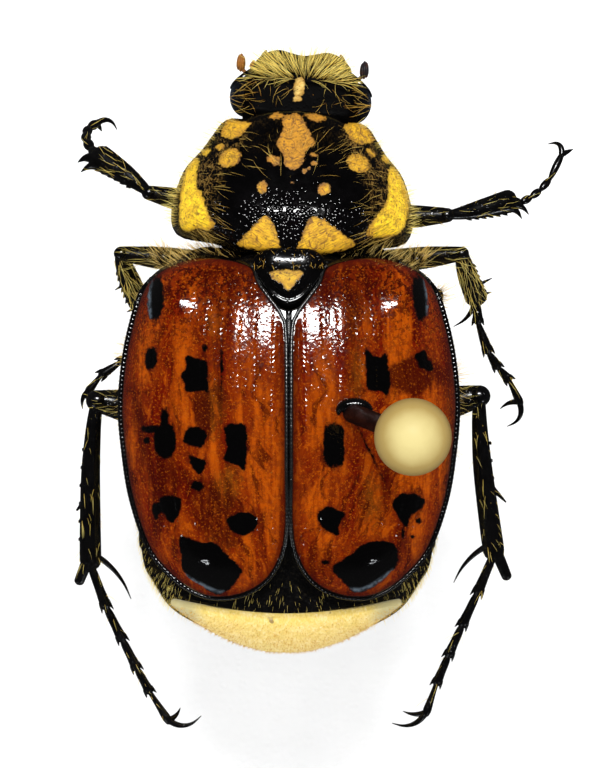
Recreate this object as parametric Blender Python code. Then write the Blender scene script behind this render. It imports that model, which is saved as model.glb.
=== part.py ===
"""A pinned flower chafer on a plain display base, at life size.

Run with blender --background --python part.py, or from Blender's text editor.

The head points towards +Y and the beetle's right side is at +X. Shapes are worked out in millimetres
and are scaled to metres at the end. The body frame has its origin on the midline of the wing cases,
level with their side edges, and lies BODY_LIFT above the underside of the base.
"""

import math
from collections import namedtuple

import bmesh
import bpy
from mathutils import Matrix, Vector

METRES_PER_MM = 0.001

# Stand and pin
BASE_SIZE = (20.0, 24.0, 6.0)
BASE_BEVEL = 0.6
PIN_RADIUS = 0.25
PIN_POINT = 0.9
PIN_HEAD_RADIUS = 0.9
PIN_ENTRY = Vector((1.575, -0.525, 1.9))
PIN_HEAD = Vector((2.888, -1.026, 11.2))
PIN_FOOT_ABOVE_FLOOR = 1.2
PIN_SIDES = 16

# Body frame and clearances
BODY_LIFT = 18.0
GAP = 0.2
SLIVER = 0.002

# Wing cases: half width and crown height at stations along Y
CASE_WALL = 0.5
CASE_RIM_DROP = 0.22
CASE_CROWN_POWER = 2.6
CASE_OVERSIZE = 1.006
CASE_HALF_WIDTHS = (
    (3.6, 2.2), (3.1, 3.3), (2.7, 3.6), (2.1, 3.84), (1.0, 4.1), (-0.3, 4.225),
    (-1.5, 4.14), (-2.7, 3.96), (-3.9, 3.6), (-4.6, 3.12), (-5.0, 2.62), (-5.3, 1.9),
)
CASE_CROWN_HEIGHTS = (
    (3.6, 1.3), (2.0, 1.72), (0.0, 1.95), (-2.0, 1.86), (-3.5, 1.5), (-4.5, 1.0), (-5.3, 0.42),
)
# Swellings of the shoulder and of the tip: place from the midline, place along Y, two reaches and a rise
CASE_CALLI = ((3.1, 2.3, 0.42, 0.75, 0.14), (1.95, -4.3, 0.75, 0.5, 0.16))

# Hind body: side half width, depth and height of the back at stations along Y
LEDGE = -0.36
LEDGE_INSET = 0.2
BACK_INSET = 0.85
BACK_DROP = 0.8
THORAX_STATIONS = (3.62, 3.3, 2.9, 2.2, 1.4, 0.5, -0.4, -1.1, -1.6)
THORAX_DEPTHS = ((3.62, 2.05), (2.6, 2.45), (0.0, 2.62), (-1.6, 2.55))
ABDOMEN_REAR = -5.28
ABDOMEN_SHIFT = -0.07
ABDOMEN_PLATES = 5
ABDOMEN_DEPTHS = ((-1.8, 2.5), (-3.5, 2.5), (-4.6, 2.3), (-5.28, 2.05))
ABDOMEN_HALF_WIDTHS = ((-1.8, 3.88), (-3.0, 3.74), (-3.9, 3.6), (-4.3, 3.48), (-4.8, 3.25), (-5.28, 2.75))
ABDOMEN_BACKS = ((-1.8, 1.05), (-3.0, 0.7), (-3.9, 0.25), (-4.4, 0.02), (-4.8, -0.06), (-5.28, -0.14))
REAR_SLOPE = 0.45
REAR_BEND = 0.035
PLATE_STEP = 0.1

# Prothorax and head frames: a place in the body frame and a turn about Z
PROTHORAX_AT = Vector((0.1, 5.05, 0.0))
PROTHORAX_TURN = math.radians(-2.2)
HEAD_AT = Vector((0.27, 7.0, 0.0))
HEAD_TURN = math.radians(-3.5)
EYE_CENTRE = Vector((1.36, 0.33, -0.55))
EYE_RADII = Vector((0.42, 0.52, 0.5))
CLUB_RADII = Vector((0.21, 0.33, 0.28))

# Legs: the plan of what hangs below the body was measured from this point above it
SIGHT = Vector((0.275, 0.2, 150.0))

Leg = namedtuple("Leg", "hip knee ankle toes claws spikes femur tibia")

LEGS = {
    "foreleg_left": Leg(
        hip=(-0.75, 4.35, -1.95), knee=(-3.5, 4.98, -1.35), ankle=(-4.78, 5.9, -1.85),
        toes=(
            (-4.95, 6.08, -2.25), (-5.06, 6.28, -2.65), (-5.08, 6.45, -3.05), (-5.0, 6.6, -3.45), (-4.84, 6.72, -3.85),
        ),
        claws=((-4.33, 6.65, -4.1), (-4.6, 6.95, -4.2)),
        spikes=((0.62, (-4.62, 5.2, -1.75)), (0.84, (-5.17, 5.5, -1.85)), (1.0, (-5.27, 5.82, -1.95))),
        femur=0.62, tibia=(0.4, 0.68),
    ),
    "foreleg_right": Leg(
        hip=(0.95, 4.3, -1.95), knee=(3.95, 4.42, -1.35), ankle=(5.6, 4.78, -1.8),
        toes=((5.9, 4.8, -1.95), (6.2, 4.93, -2.1), (6.45, 5.15, -2.2), (6.66, 5.5, -2.3), (6.82, 5.9, -2.35)),
        claws=((6.48, 6.22, -2.45), (7.08, 6.1, -2.45)),
        spikes=((0.62, (4.95, 4.12, -1.7)), (0.86, (5.78, 4.33, -1.8)), (1.0, (5.98, 4.5, -1.9))),
        femur=0.62, tibia=(0.4, 0.66),
    ),
    "midleg_left": Leg(
        hip=(-1.0, 3.1, -2.25), knee=(-4.2, 3.46, -1.6), ankle=(-3.72, 2.2, -2.9),
        toes=((-3.52, 1.62, -3.1), (-3.72, 1.08, -3.2), (-4.22, 0.74, -3.25), (-4.7, 0.42, -3.3), (-5.03, 0.0, -3.35)),
        claws=((-5.16, -0.42, -3.5), (-4.88, -0.4, -3.5)),
        spikes=((1.0, (-3.3, 1.85, -3.15)), (1.0, (-4.05, 2.0, -3.25)), (0.6, (-4.35, 2.55, -2.5))),
        femur=0.6, tibia=(0.36, 0.58),
    ),
    "midleg_right": Leg(
        hip=(1.05, 3.1, -2.25), knee=(4.32, 3.46, -1.6), ankle=(4.7, 2.3, -2.8),
        toes=((4.72, 1.75, -2.9), (4.93, 1.25, -3.0), (5.17, 0.76, -3.1), (5.42, 0.32, -3.2), (5.66, -0.15, -3.3)),
        claws=((5.38, -0.3, -3.45), (5.45, -0.75, -3.5)),
        spikes=((1.0, (5.06, 2.5, -2.9)), (0.8, (5.08, 2.85, -2.5)), (1.0, (4.16, 1.7, -3.0))),
        femur=0.6, tibia=(0.36, 0.54),
    ),
    "hindleg_left": Leg(
        hip=(-1.75, -0.75, -2.35), knee=(-4.8, -0.22, -1.75), ankle=(-4.97, -4.3, -2.55),
        toes=((-4.62, -5.25, -2.7), (-4.3, -6.0, -2.8), (-3.93, -6.7, -2.9), (-3.56, -7.4, -3.0), (-3.06, -8.12, -3.05)),
        claws=((-2.25, -8.12, -3.15), (-2.72, -7.88, -3.25)),
        spikes=((1.0, (-5.27, -4.75, -2.6)), (1.0, (-4.0, -5.1, -2.6)), (0.62, (-5.3, -2.95, -2.35))),
        femur=0.92, tibia=(0.42, 0.58),
    ),
    "hindleg_right": Leg(
        hip=(1.8, -0.75, -2.35), knee=(4.76, -0.1, -1.75), ankle=(5.12, -4.05, -2.55),
        toes=((4.66, -5.1, -2.7), (4.28, -5.9, -2.8), (3.93, -6.7, -2.9), (3.65, -7.4, -3.0), (3.42, -8.05, -3.05)),
        claws=((2.58, -8.28, -3.15), (2.85, -7.98, -3.25)),
        spikes=((1.0, (5.4, -4.55, -2.6)), (1.0, (4.15, -4.75, -2.6)), (0.62, (5.42, -2.75, -2.35))),
        femur=0.92, tibia=(0.42, 0.58),
    ),
}

COLOURS = {
    "case_chestnut": ((0.30, 0.075, 0.018), 0.28, 0.0),
    "body_black": ((0.012, 0.011, 0.010), 0.35, 0.0),
    "eye_black": ((0.008, 0.009, 0.011), 0.18, 0.0),
    "feeler_brown": ((0.09, 0.035, 0.012), 0.4, 0.0),
    "pygidium_cream": ((0.72, 0.56, 0.24), 0.6, 0.0),
    "pin_enamel": ((0.02, 0.02, 0.022), 0.25, 0.0),
    "pin_head_cream": ((0.86, 0.80, 0.66), 0.35, 0.0),
    "stand_white": ((0.85, 0.85, 0.84), 0.6, 0.0),
}


def clear_scene():
    """Removes every object, so that the script gives the same scene from any file."""
    for obj in list(bpy.data.objects):
        bpy.data.objects.remove(obj, do_unlink=True)


def material(name):
    """The named finish, made on its first use."""
    found = bpy.data.materials.get(name)
    if found:
        return found
    colour, roughness, metallic = COLOURS[name]
    made = bpy.data.materials.new(name)
    made.use_nodes = True
    shader = made.node_tree.nodes["Principled BSDF"]
    shader.inputs["Base Color"].default_value = (*colour, 1.0)
    shader.inputs["Roughness"].default_value = roughness
    shader.inputs["Metallic"].default_value = metallic
    made.diffuse_color = (*colour, 1.0)
    return made


def clamp(value, low, high):
    """value, held between low and high."""
    return max(low, min(high, value))


def ease(value, low, high):
    """A smooth climb from 0 at low to 1 at high."""
    t = clamp((value - low) / (high - low), 0.0, 1.0)
    return t * t * (3 - 2 * t)


def between(stations, place):
    """A smooth value at place, through (place, value) stations in falling order of place."""
    if place >= stations[0][0]:
        return stations[0][1]
    if place <= stations[-1][0]:
        return stations[-1][1]
    index = next(i for i in range(len(stations) - 1) if stations[i + 1][0] <= place)
    (p0, v0), (p1, v1) = stations[index], stations[index + 1]

    def slope(i):
        before, after = stations[max(i - 1, 0)], stations[min(i + 1, len(stations) - 1)]
        return (after[1] - before[1]) / (after[0] - before[0])

    span = p1 - p0
    t = (place - p0) / span
    return (
        v0 * (1 + 2 * t) * (1 - t) ** 2
        + slope(index) * span * t * (1 - t) ** 2
        + v1 * t * t * (3 - 2 * t)
        + slope(index + 1) * span * t * t * (t - 1)
    )


def spline(points, t, closed):
    """The point at t, counted in points, on a smooth curve through the points."""
    count = len(points)
    base = math.floor(t)
    f = t - base

    def at(i):
        return Vector(points[i % count] if closed else points[int(clamp(i, 0, count - 1))])

    a, b, c, d = at(base - 1), at(base), at(base + 1), at(base + 2)
    return 0.5 * (2 * b + (c - a) * f + (2 * a - 5 * b + 4 * c - d) * f * f + (3 * b - a - 3 * c + d) * f ** 3)


def even_loop(points, count):
    """count evenly spaced points on the smooth closed curve through the points."""
    fine = [spline(points, i * len(points) / 400, True) for i in range(401)]
    lengths = [0.0]
    for a, b in zip(fine, fine[1:]):
        lengths.append(lengths[-1] + (b - a).length)
    found, j = [], 0
    for i in range(count):
        wanted = lengths[-1] * i / count
        while lengths[j + 1] < wanted:
            j += 1
        share = (wanted - lengths[j]) / (lengths[j + 1] - lengths[j])
        found.append(fine[j].lerp(fine[j + 1], share))
    return found


def mirrored_loop(half, count):
    """An even closed loop from the right-hand half of a symmetrical outline, its ends on the midline."""
    left = [(-x, y) for x, y in reversed(half) if x > 1e-6]
    return even_loop([*half, *left], count)


def new_object(name, bm, finish):
    """An object from bm, with outward faces, smooth shading and one finish."""
    bmesh.ops.triangulate(bm, faces=bm.faces)
    bmesh.ops.recalc_face_normals(bm, faces=bm.faces)
    mesh = bpy.data.meshes.new(name)
    bm.to_mesh(mesh)
    bm.free()
    mesh.materials.append(material(finish))
    mesh.shade_smooth()
    obj = bpy.data.objects.new(name, mesh)
    bpy.context.scene.collection.objects.link(obj)
    return obj


def loft(name, rings, finish):
    """A closed skin over rings of equal length, each end closed across."""
    bm = bmesh.new()
    rows = [[bm.verts.new(p) for p in ring] for ring in rings]
    count = len(rows[0])
    for low, high in zip(rows, rows[1:]):
        for i in range(count):
            k = (i + 1) % count
            bm.faces.new((low[i], low[k], high[k], high[i]))
    bm.faces.new(rows[0])
    bm.faces.new(rows[-1])
    return new_object(name, bm, finish)


def cushion(name, outline, inner, level, top, bottom, finish, rings=12, powers=(2.4, 2.4), core=0.14):
    """A rounded solid over a plan outline.

    inner gives the point of the middle line that each outline point closes towards. level is the
    height of the rim over each point of the plan, and top and bottom are those of the two faces.
    """
    made = []
    for k in range(rings + 1):
        angle = math.pi * k / rings
        above = 2 * k <= rings
        power = powers[0] if above else powers[1]
        reach = core + (1 - core) * math.sin(angle) ** (2 / power)
        lift = abs(math.cos(angle)) ** (2 / power)
        ring = []
        for p in outline:
            x, y = Vector(inner(p)).lerp(Vector((p[0], p[1])), reach)
            rim = level(x, y)
            ring.append((x, y, rim + ((top if above else bottom)(x, y) - rim) * lift))
        made.append(ring)
    return loft(name, made, finish)


def limb(name, stations, finish, sides=8, steps=2, flat=Vector((0, 0, 1))):
    """A tube through (point, width, thickness) stations. Its thickness is measured along flat."""
    last = len(stations) - 1
    centres = [Vector(s[0]) for s in stations]
    rings = []
    for i in range(last * steps + 1):
        t = i / steps
        centre = spline(centres, t, False)
        along = (spline(centres, min(t + 0.05, last), False) - spline(centres, max(t - 0.05, 0), False)).normalized()
        side = along.cross(flat).normalized()
        top = side.cross(along).normalized()
        index = min(int(t), last - 1)
        f = t - index
        width = stations[index][1] * (1 - f) + stations[index + 1][1] * f
        thick = stations[index][2] * (1 - f) + stations[index + 1][2] * f
        angles = [2 * math.pi * (j + 0.5) / sides for j in range(sides)]
        rings.append([centre + side * (math.cos(a) * width / 2) + top * (math.sin(a) * thick / 2) for a in angles])
    return loft(name, rings, finish)


def ellipsoid(name, centre, radii, finish, segments=16, rings=10):
    """A closed ellipsoid."""
    bm = bmesh.new()
    bmesh.ops.create_uvsphere(bm, u_segments=segments, v_segments=rings, radius=1.0)
    bmesh.ops.transform(bm, matrix=Matrix.Translation(centre) @ Matrix.Diagonal((*radii, 1.0)), verts=bm.verts)
    return new_object(name, bm, finish)


def turned(name, profile, finish, sides):
    """A solid turned about Z from (radius, height) points, lowest first."""
    turns = [2 * math.pi * j / sides for j in range(sides)]
    return loft(name, [[(r * math.cos(a), r * math.sin(a), z) for a in turns] for r, z in profile], finish)


def grown(obj, margin=GAP):
    """A copy of obj with its skin moved out by margin, to cut clearance with."""
    bm = bmesh.new()
    bm.from_mesh(obj.data)
    bm.normal_update()
    moves = [v.normal * (margin * min(v.calc_shell_factor(), 1.6)) for v in bm.verts]
    for vert, move in zip(bm.verts, moves):
        vert.co += move
    copy = new_object(f"{obj.name} clearance", bm, obj.data.materials[0].name)
    copy.parent = obj.parent
    copy.location = obj.location
    copy.rotation_euler = obj.rotation_euler
    return copy


def keep_largest(mesh):
    """Leaves only the closed surface of the greatest volume in mesh."""
    bm = bmesh.new()
    bm.from_mesh(mesh)
    bmesh.ops.dissolve_degenerate(bm, dist=SLIVER, edges=bm.edges)
    bmesh.ops.triangulate(bm, faces=bm.faces)
    left, groups = set(bm.faces), []
    while left:
        group, frontier = [], [left.pop()]
        while frontier:
            face = frontier.pop()
            group.append(face)
            near = {other for edge in face.edges for other in edge.link_faces} & left
            left -= near
            frontier.extend(near)
        volume = sum(f.verts[0].co.dot(f.verts[1].co.cross(f.verts[2].co)) for f in group) / 6
        groups.append((volume, group))
    groups.sort(key=lambda entry: entry[0])
    for _, group in groups[:-1]:
        bmesh.ops.delete(bm, geom=group, context="FACES")
    bm.to_mesh(mesh)
    bm.free()


def combine(target, others, operation, solver="EXACT"):
    """Joins target with the closed meshes in others, or cuts it with them, and removes them."""
    tools = bpy.data.collections.new("tools")
    bpy.context.scene.collection.children.link(tools)
    for other in others:
        bpy.context.scene.collection.objects.unlink(other)
        tools.objects.link(other)
    modifier = target.modifiers.new("combine", "BOOLEAN")
    modifier.operation = operation
    modifier.operand_type = "COLLECTION"
    modifier.collection = tools
    modifier.solver = solver
    bpy.context.view_layer.update()
    graph = bpy.context.evaluated_depsgraph_get()
    mesh = bpy.data.meshes.new_from_object(target.evaluated_get(graph), depsgraph=graph)
    finish = target.data.materials[0]
    target.modifiers.clear()
    mesh.materials.clear()
    mesh.materials.append(finish)
    keep_largest(mesh)
    mesh.shade_smooth()
    mesh.name = target.name
    target.data = mesh
    for other in others:
        bpy.data.objects.remove(other, do_unlink=True)
    bpy.data.collections.remove(tools)
    return target


def place(obj, parent, at=(0, 0, 0), turn=(0, 0, 0)):
    """Puts obj in the frame of parent, an empty."""
    obj.parent = parent
    obj.location = at
    obj.rotation_euler = turn
    return obj


def frame(name, at, turn=0.0, parent=None):
    """An empty that carries a group of parts."""
    made = bpy.data.objects.new(name, None)
    bpy.context.scene.collection.objects.link(made)
    return place(made, parent, at, (0, 0, turn))


def case_height(x, y):
    """The height of the dome that both wing cases share, over a point of the plan, with its two calli."""
    wide = between(CASE_HALF_WIDTHS, y) * CASE_OVERSIZE
    share = clamp(abs(x) / wide, 0.0, 0.994)
    dome = between(CASE_CROWN_HEIGHTS, y) * (1 - share ** CASE_CROWN_POWER) ** 0.5
    calli = 0.0
    for at_x, at_y, reach_x, reach_y, rise in CASE_CALLI:
        away = ((abs(x) - at_x) / reach_x) ** 2 + ((y - at_y) / reach_y) ** 2
        calli += rise * math.exp(-away)
    return dome + calli * (1 - share ** 8)


def case_normal(x, y):
    """The outward direction of that dome."""
    step = 0.03
    dx = (case_height(x + step, y) - case_height(x - step, y)) / (2 * step)
    dy = (case_height(x, y + step) - case_height(x, y - step)) / (2 * step)
    return Vector((-dx, -dy, 1.0)).normalized()


def wing_case(name, side):
    """One wing case: a wall bent over the hind body, with its side edge turned down."""
    seam = GAP / 2
    outline = even_loop(
        [
            (seam, 1.5), (0.18, 1.95), (0.46, 2.35), (0.74, 2.75), (0.93, 3.15), (1.6, 3.36), (2.4, 3.36),
            (3.15, 3.1), (3.6, 2.68), (3.84, 2.1), (4.1, 1.0), (4.225, -0.3), (4.14, -1.5), (3.96, -2.7),
            (3.6, -3.9), (3.12, -4.6), (2.5, -5.04), (1.85, -5.2), (1.15, -5.1), (0.55, -4.72), (0.17, -4.1),
            (seam, -3.4), (seam, -1.8), (seam, 0.0),
        ],
        52,
    )
    outer, under = [], []
    for reach in (0.12, 0.45, 0.72, 0.9, 1.0):
        ring_out, ring_in = [], []
        for p in outline:
            x, y = Vector((1.9, clamp(p.y, -3.4, 1.7))).lerp(p, reach)
            top = Vector((x, y, case_height(x, y)))
            ring_out.append(top)
            ring_in.append(top - case_normal(x, y) * CASE_WALL)
        outer.append(ring_out)
        under.append(ring_in)
    rim = [p - Vector((0, 0, CASE_RIM_DROP)) for p in outer[-1]]
    rings = [*outer, rim, *reversed(under)]
    return loft(name, [[(side * p.x, p.y, p.z) for p in ring] for ring in rings], "case_chestnut")


def scutellum():
    """The shield between the roots of the wing cases."""
    half = [(0.0, 3.22), (0.4, 3.22), (0.68, 3.1), (0.62, 2.85), (0.44, 2.5), (0.22, 2.2), (0.0, 2.08)]
    return cushion(
        "scutellum", mirrored_loop(half, 24), lambda p: (0.0, clamp(p.y, 2.5, 2.9)),
        lambda x, y: 1.2, lambda x, y: 1.56, lambda x, y: 0.85, "body_black", rings=8, powers=(3.0, 5.0),
    )


def body_ring(y, side_half, back_half, back, depth, lean=0.0, bend=0.0, shift=0.0):
    """One cross-section of the hind body: a low dome under the wing cases over a wider, deeper belly."""
    ring = []
    for j in range(13):
        a = math.pi * j / 12
        c, s = math.cos(a), math.sin(a)
        x = back_half * math.copysign(abs(c) ** (2 / 2.6), c)
        ring.append((x, LEDGE + 0.03 + (back - LEDGE - 0.03) * s ** (2 / 2.3)))
    for j in range(19):
        a = math.pi * (1 + j / 18)
        c, s = math.cos(a), math.sin(a)
        x = side_half * math.copysign(abs(c) ** (2 / 2.5), c)
        ring.append((x, LEDGE - (depth + LEDGE) * abs(s)))
    return [(x + shift, y + lean * z + bend * x * x, z) for x, z in ring]


def thorax():
    """The middle and hind thorax in one piece, with the coxal plates below."""
    rings = []
    for y in THORAX_STATIONS:
        side = between(CASE_HALF_WIDTHS, y)
        back = between(CASE_CROWN_HEIGHTS, y) - BACK_DROP
        narrow = 0.35 * ease(y, 3.0, 3.62)
        depth = between(THORAX_DEPTHS, y)
        rings.append(body_ring(y, side - LEDGE_INSET + narrow, side - BACK_INSET + narrow, back, depth))
    body = loft("thorax", list(reversed(rings)), "body_black")
    coxae = [
        ellipsoid("coxa", centre, radii, "body_black", 12, 8)
        for side in (1, -1)
        for centre, radii in (
            (Vector((side * 0.85, 2.95, -2.0)), (0.6, 0.5, 0.55)),
            (Vector((side * 1.45, -0.9, -2.1)), (1.3, 0.5, 0.62)),
        )
    ]
    return combine(body, coxae, "UNION")


def abdomen():
    """The hind part: belly plates that step down one over the next, and the last back plate."""
    front = THORAX_STATIONS[-1] - GAP
    rings = []
    for k in range(ABDOMEN_PLATES):
        for share, step in ((0.03, 0.0), (0.5, 0.03), (0.97, PLATE_STEP)):
            y = front + (ABDOMEN_REAR - front) * (k + share) / ABDOMEN_PLATES
            slant = ease(y, -2.4, ABDOMEN_REAR)
            run = (y - front) / (ABDOMEN_REAR - front)
            side = between(ABDOMEN_HALF_WIDTHS, y)
            inset = 0.65 - 0.35 * ease(-y, 4.3, 5.0)
            depth = between(ABDOMEN_DEPTHS, y) + step
            back = between(ABDOMEN_BACKS, y)
            lean, bend = REAR_SLOPE * slant, REAR_BEND * slant
            rings.append(body_ring(y, side, side - inset, back, depth, lean, bend, ABDOMEN_SHIFT * run))
    return loft("abdomen", rings, "body_black")


def pygidium(body):
    """The sloping plate that closes the rear, seen as a crescent from above."""
    half = [
        (0.0, 0.04), (1.4, 0.03), (2.3, -0.02), (2.62, -0.14),
        (2.36, -0.58), (1.8, -1.18), (1.0, -1.76), (0.0, -2.04),
    ]
    plate = cushion(
        "pygidium", mirrored_loop(half, 40), lambda p: (clamp(p[0], -1.3, 1.3), -0.85),
        lambda x, y: -REAR_BEND * x * x, lambda x, y: 0.4 - 0.07 * x * x, lambda x, y: -0.1 - REAR_BEND * x * x,
        "pygidium_cream", rings=10, powers=(2.2, 5.0),
    )
    outward = Vector((0, -1, REAR_SLOPE)).normalized()
    top_edge = Vector((ABDOMEN_SHIFT, ABDOMEN_REAR - 0.1 * REAR_SLOPE, -0.1))
    return place(plate, body, top_edge + outward * (GAP + 0.1), (math.atan2(1.0, REAR_SLOPE), 0, 0))


def pronotum():
    """The shield of the prothorax, with the fore coxae below."""
    half = [
        (0.0, 1.6), (1.0, 1.6), (1.62, 1.72), (1.87, 1.6), (2.05, 1.32), (2.3, 0.95), (2.69, 0.43), (2.88, -0.05),
        (2.99, -0.55), (2.96, -1.02), (2.7, -1.27), (1.9, -1.4), (1.35, -1.6), (0.6, -1.68), (0.0, -1.68),
    ]

    def level(x, y):
        rear = ease(-y, 0.5, 1.6) * max(0.0, 1 - (x / 2.6) ** 2)
        return -0.3 + 1.15 * rear + 0.15 * ease(y, 0.8, 1.6)

    shield = cushion(
        "pronotum", mirrored_loop(half, 44), lambda p: (clamp(p[0], -1.5, 1.5), clamp(p[1], -0.6, 0.6)),
        level, lambda x, y: 1.38 - 0.32 * y - 0.05 * x * x, lambda x, y: -1.6 + 0.2 * ease(y, 0.4, 1.6),
        "body_black", rings=12, powers=(2.5, 2.2),
    )
    coxae = [
        ellipsoid("coxa", Vector((side * 0.7, -0.75, -1.55)), (0.6, 0.55, 0.55), "body_black", 12, 8)
        for side in (1, -1)
    ]
    return combine(shield, coxae, "UNION")


def head():
    """The head with its notched front plate, narrowing to a neck behind the eyes."""
    half = [
        (0.0, 1.44), (0.3, 1.49), (0.63, 1.55), (0.98, 1.43), (1.2, 1.2), (1.27, 0.98), (1.42, 0.82),
        (1.5, 0.4), (1.46, -0.1), (1.3, -0.45), (0.9, -0.68), (0.0, -0.72),
    ]
    return cushion(
        "head", mirrored_loop(half, 36), lambda p: (clamp(p[0], -0.6, 0.6), clamp(p[1], 0.0, 0.8)),
        lambda x, y: -0.45 - 0.16 * y, lambda x, y: 0.22 - 0.3 * y + 0.05 * y * y, lambda x, y: -1.2 + 0.1 * y,
        "body_black", rings=10, powers=(3.0, 2.4),
    )


def eye(name, side):
    """One eye, sunk in the side of the head."""
    return ellipsoid(name, Vector((side * EYE_CENTRE.x, *EYE_CENTRE.yz)), EYE_RADII, "eye_black", 14, 8)


def antenna(name, side):
    """A short stalk from beside the eye, ending in the folded club."""
    root = Vector((side * 1.15, 0.85, -0.72))
    elbow = Vector((side * 1.46, 0.98, -0.7))
    club = Vector((side * 1.5, 1.14, -0.68))
    stalk = limb(name, [(root, 0.34, 0.34), (elbow, 0.36, 0.36), (club, 0.32, 0.32)], "feeler_brown", 8)
    lobes = ellipsoid("club", club + Vector((side * 0.03, 0.08, 0)), CLUB_RADII, "feeler_brown", 14, 10)
    return combine(stalk, [lobes], "UNION", "MANIFOLD")


def hung(point):
    """The true place of a point of the plan, which looks nearer the middle the lower it hangs."""
    x, y, z = point
    spread = (SIGHT.z - z) / SIGHT.z
    return Vector((SIGHT.x + (x - SIGHT.x) * spread, SIGHT.y + (y - SIGHT.y) * spread, z))


def spike(root, tip, width):
    """A tapered tooth or spur."""
    middle = root.lerp(tip, 0.6)
    slim = width * 0.72
    return limb("spike", [(root, width, width), (middle, slim, slim), (tip, 0.08, 0.08)], "body_black", 5, 1)


def toes(points):
    """The tarsus: a chain of joints, each widening to its end."""
    stations = []
    for k, (start, end) in enumerate(zip(points, points[1:])):
        size = 0.44 - 0.02 * k
        for share, width in ((0.08, 0.28), (0.5, 0.34), (0.92, size)):
            stations.append((start.lerp(end, share), width, width * 0.9))
    stations.append((points[-1] + (points[-1] - points[-2]).normalized() * 0.1, 0.28, 0.28))
    return limb("tarsus", stations, "body_black", 6, 1)


def claw(root, tip):
    """One hooked claw."""
    middle = root.lerp(tip, 0.55) + Vector((0, 0, 0.08))
    return limb("claw", [(root, 0.24, 0.24), (middle, 0.18, 0.18), (tip, 0.06, 0.06)], "body_black", 5, 1)


def leg(name, plan, body):
    """One leg from the hip to the claws, in one piece."""
    hip, knee, ankle = hung(plan.hip), hung(plan.knee), hung(plan.ankle)
    joints = [ankle, *(hung(p) for p in plan.toes)]
    thigh = [(0.0, 0.5), (0.15, 0.75), (0.4, 1.0), (0.72, 0.98), (0.93, 0.72), (1.02, 0.4)]
    femur = limb(
        name, [(hip.lerp(knee, s), plan.femur * w, plan.femur * w * 0.72) for s, w in thigh], "body_black", 10, 1,
    )
    thin, wide = plan.tibia
    middle = 0.65 * thin + 0.35 * wide
    shin = [(-0.04, 0.6 * thin), (0.05, thin), (0.35, middle), (0.8, wide), (1.0, wide * 0.95), (1.03, wide * 0.5)]
    tibia = limb("tibia", [(knee.lerp(ankle, s), w, max(w * 0.75, 0.3)) for s, w in shin], "body_black", 8, 1)
    spikes = [spike(knee.lerp(ankle, share - 0.06), hung(tip), 0.34) for share, tip in plan.spikes]
    claws = [claw(joints[-1], hung(tip)) for tip in plan.claws]
    made = combine(femur, [tibia, toes(joints), *spikes, *claws], "UNION")
    return place(made, body)


def pin_direction():
    """The way from the pin's point to its head."""
    return (PIN_HEAD - PIN_ENTRY).normalized()


def pin_foot():
    """Where the pin's point is, in the body frame."""
    rise = PIN_ENTRY.z - (PIN_FOOT_ABOVE_FLOOR - BODY_LIFT)
    return PIN_ENTRY - pin_direction() * (rise / pin_direction().z)


def lean_with_pin(obj, body):
    """Stands obj, made upright from the pin's point, along the pin."""
    return place(obj, body, pin_foot(), pin_direction().to_track_quat("Z", "Y").to_euler())


def pin(body):
    """The enamelled shaft of the pin, up to the middle of its head."""
    length = (PIN_HEAD - pin_foot()).length
    profile = [(0.04, 0.0), (PIN_RADIUS * 0.6, PIN_POINT * 0.45), (PIN_RADIUS, PIN_POINT), (PIN_RADIUS, length)]
    return lean_with_pin(turned("pin", profile, "pin_enamel", PIN_SIDES), body)


def pin_hole(body):
    """A round cutter along the whole pin, wider by the gap."""
    length = (PIN_HEAD - pin_foot()).length
    radius = PIN_RADIUS + GAP
    return lean_with_pin(turned("pin hole", [(radius, -GAP), (radius, length + GAP)], "pin_enamel", 12), body)


def stand_base():
    """The block that holds the pin."""
    bm = bmesh.new()
    bmesh.ops.create_cube(bm, size=1.0)
    bmesh.ops.transform(bm, matrix=Matrix.Diagonal((*BASE_SIZE, 1.0)), verts=bm.verts)
    bmesh.ops.bevel(bm, geom=bm.edges, offset=BASE_BEVEL, segments=3, affect="EDGES", profile=0.5)
    return place(new_object("stand_base", bm, "stand_white"), None, (0, 0, BASE_SIZE[2] / 2))


def to_metres():
    """Scales the finished parts and their places from millimetres."""
    for obj in bpy.data.objects:
        obj.location *= METRES_PER_MM
        if obj.type == "MESH":
            obj.data.transform(Matrix.Scale(METRES_PER_MM, 4))
            obj.data.update()


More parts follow.
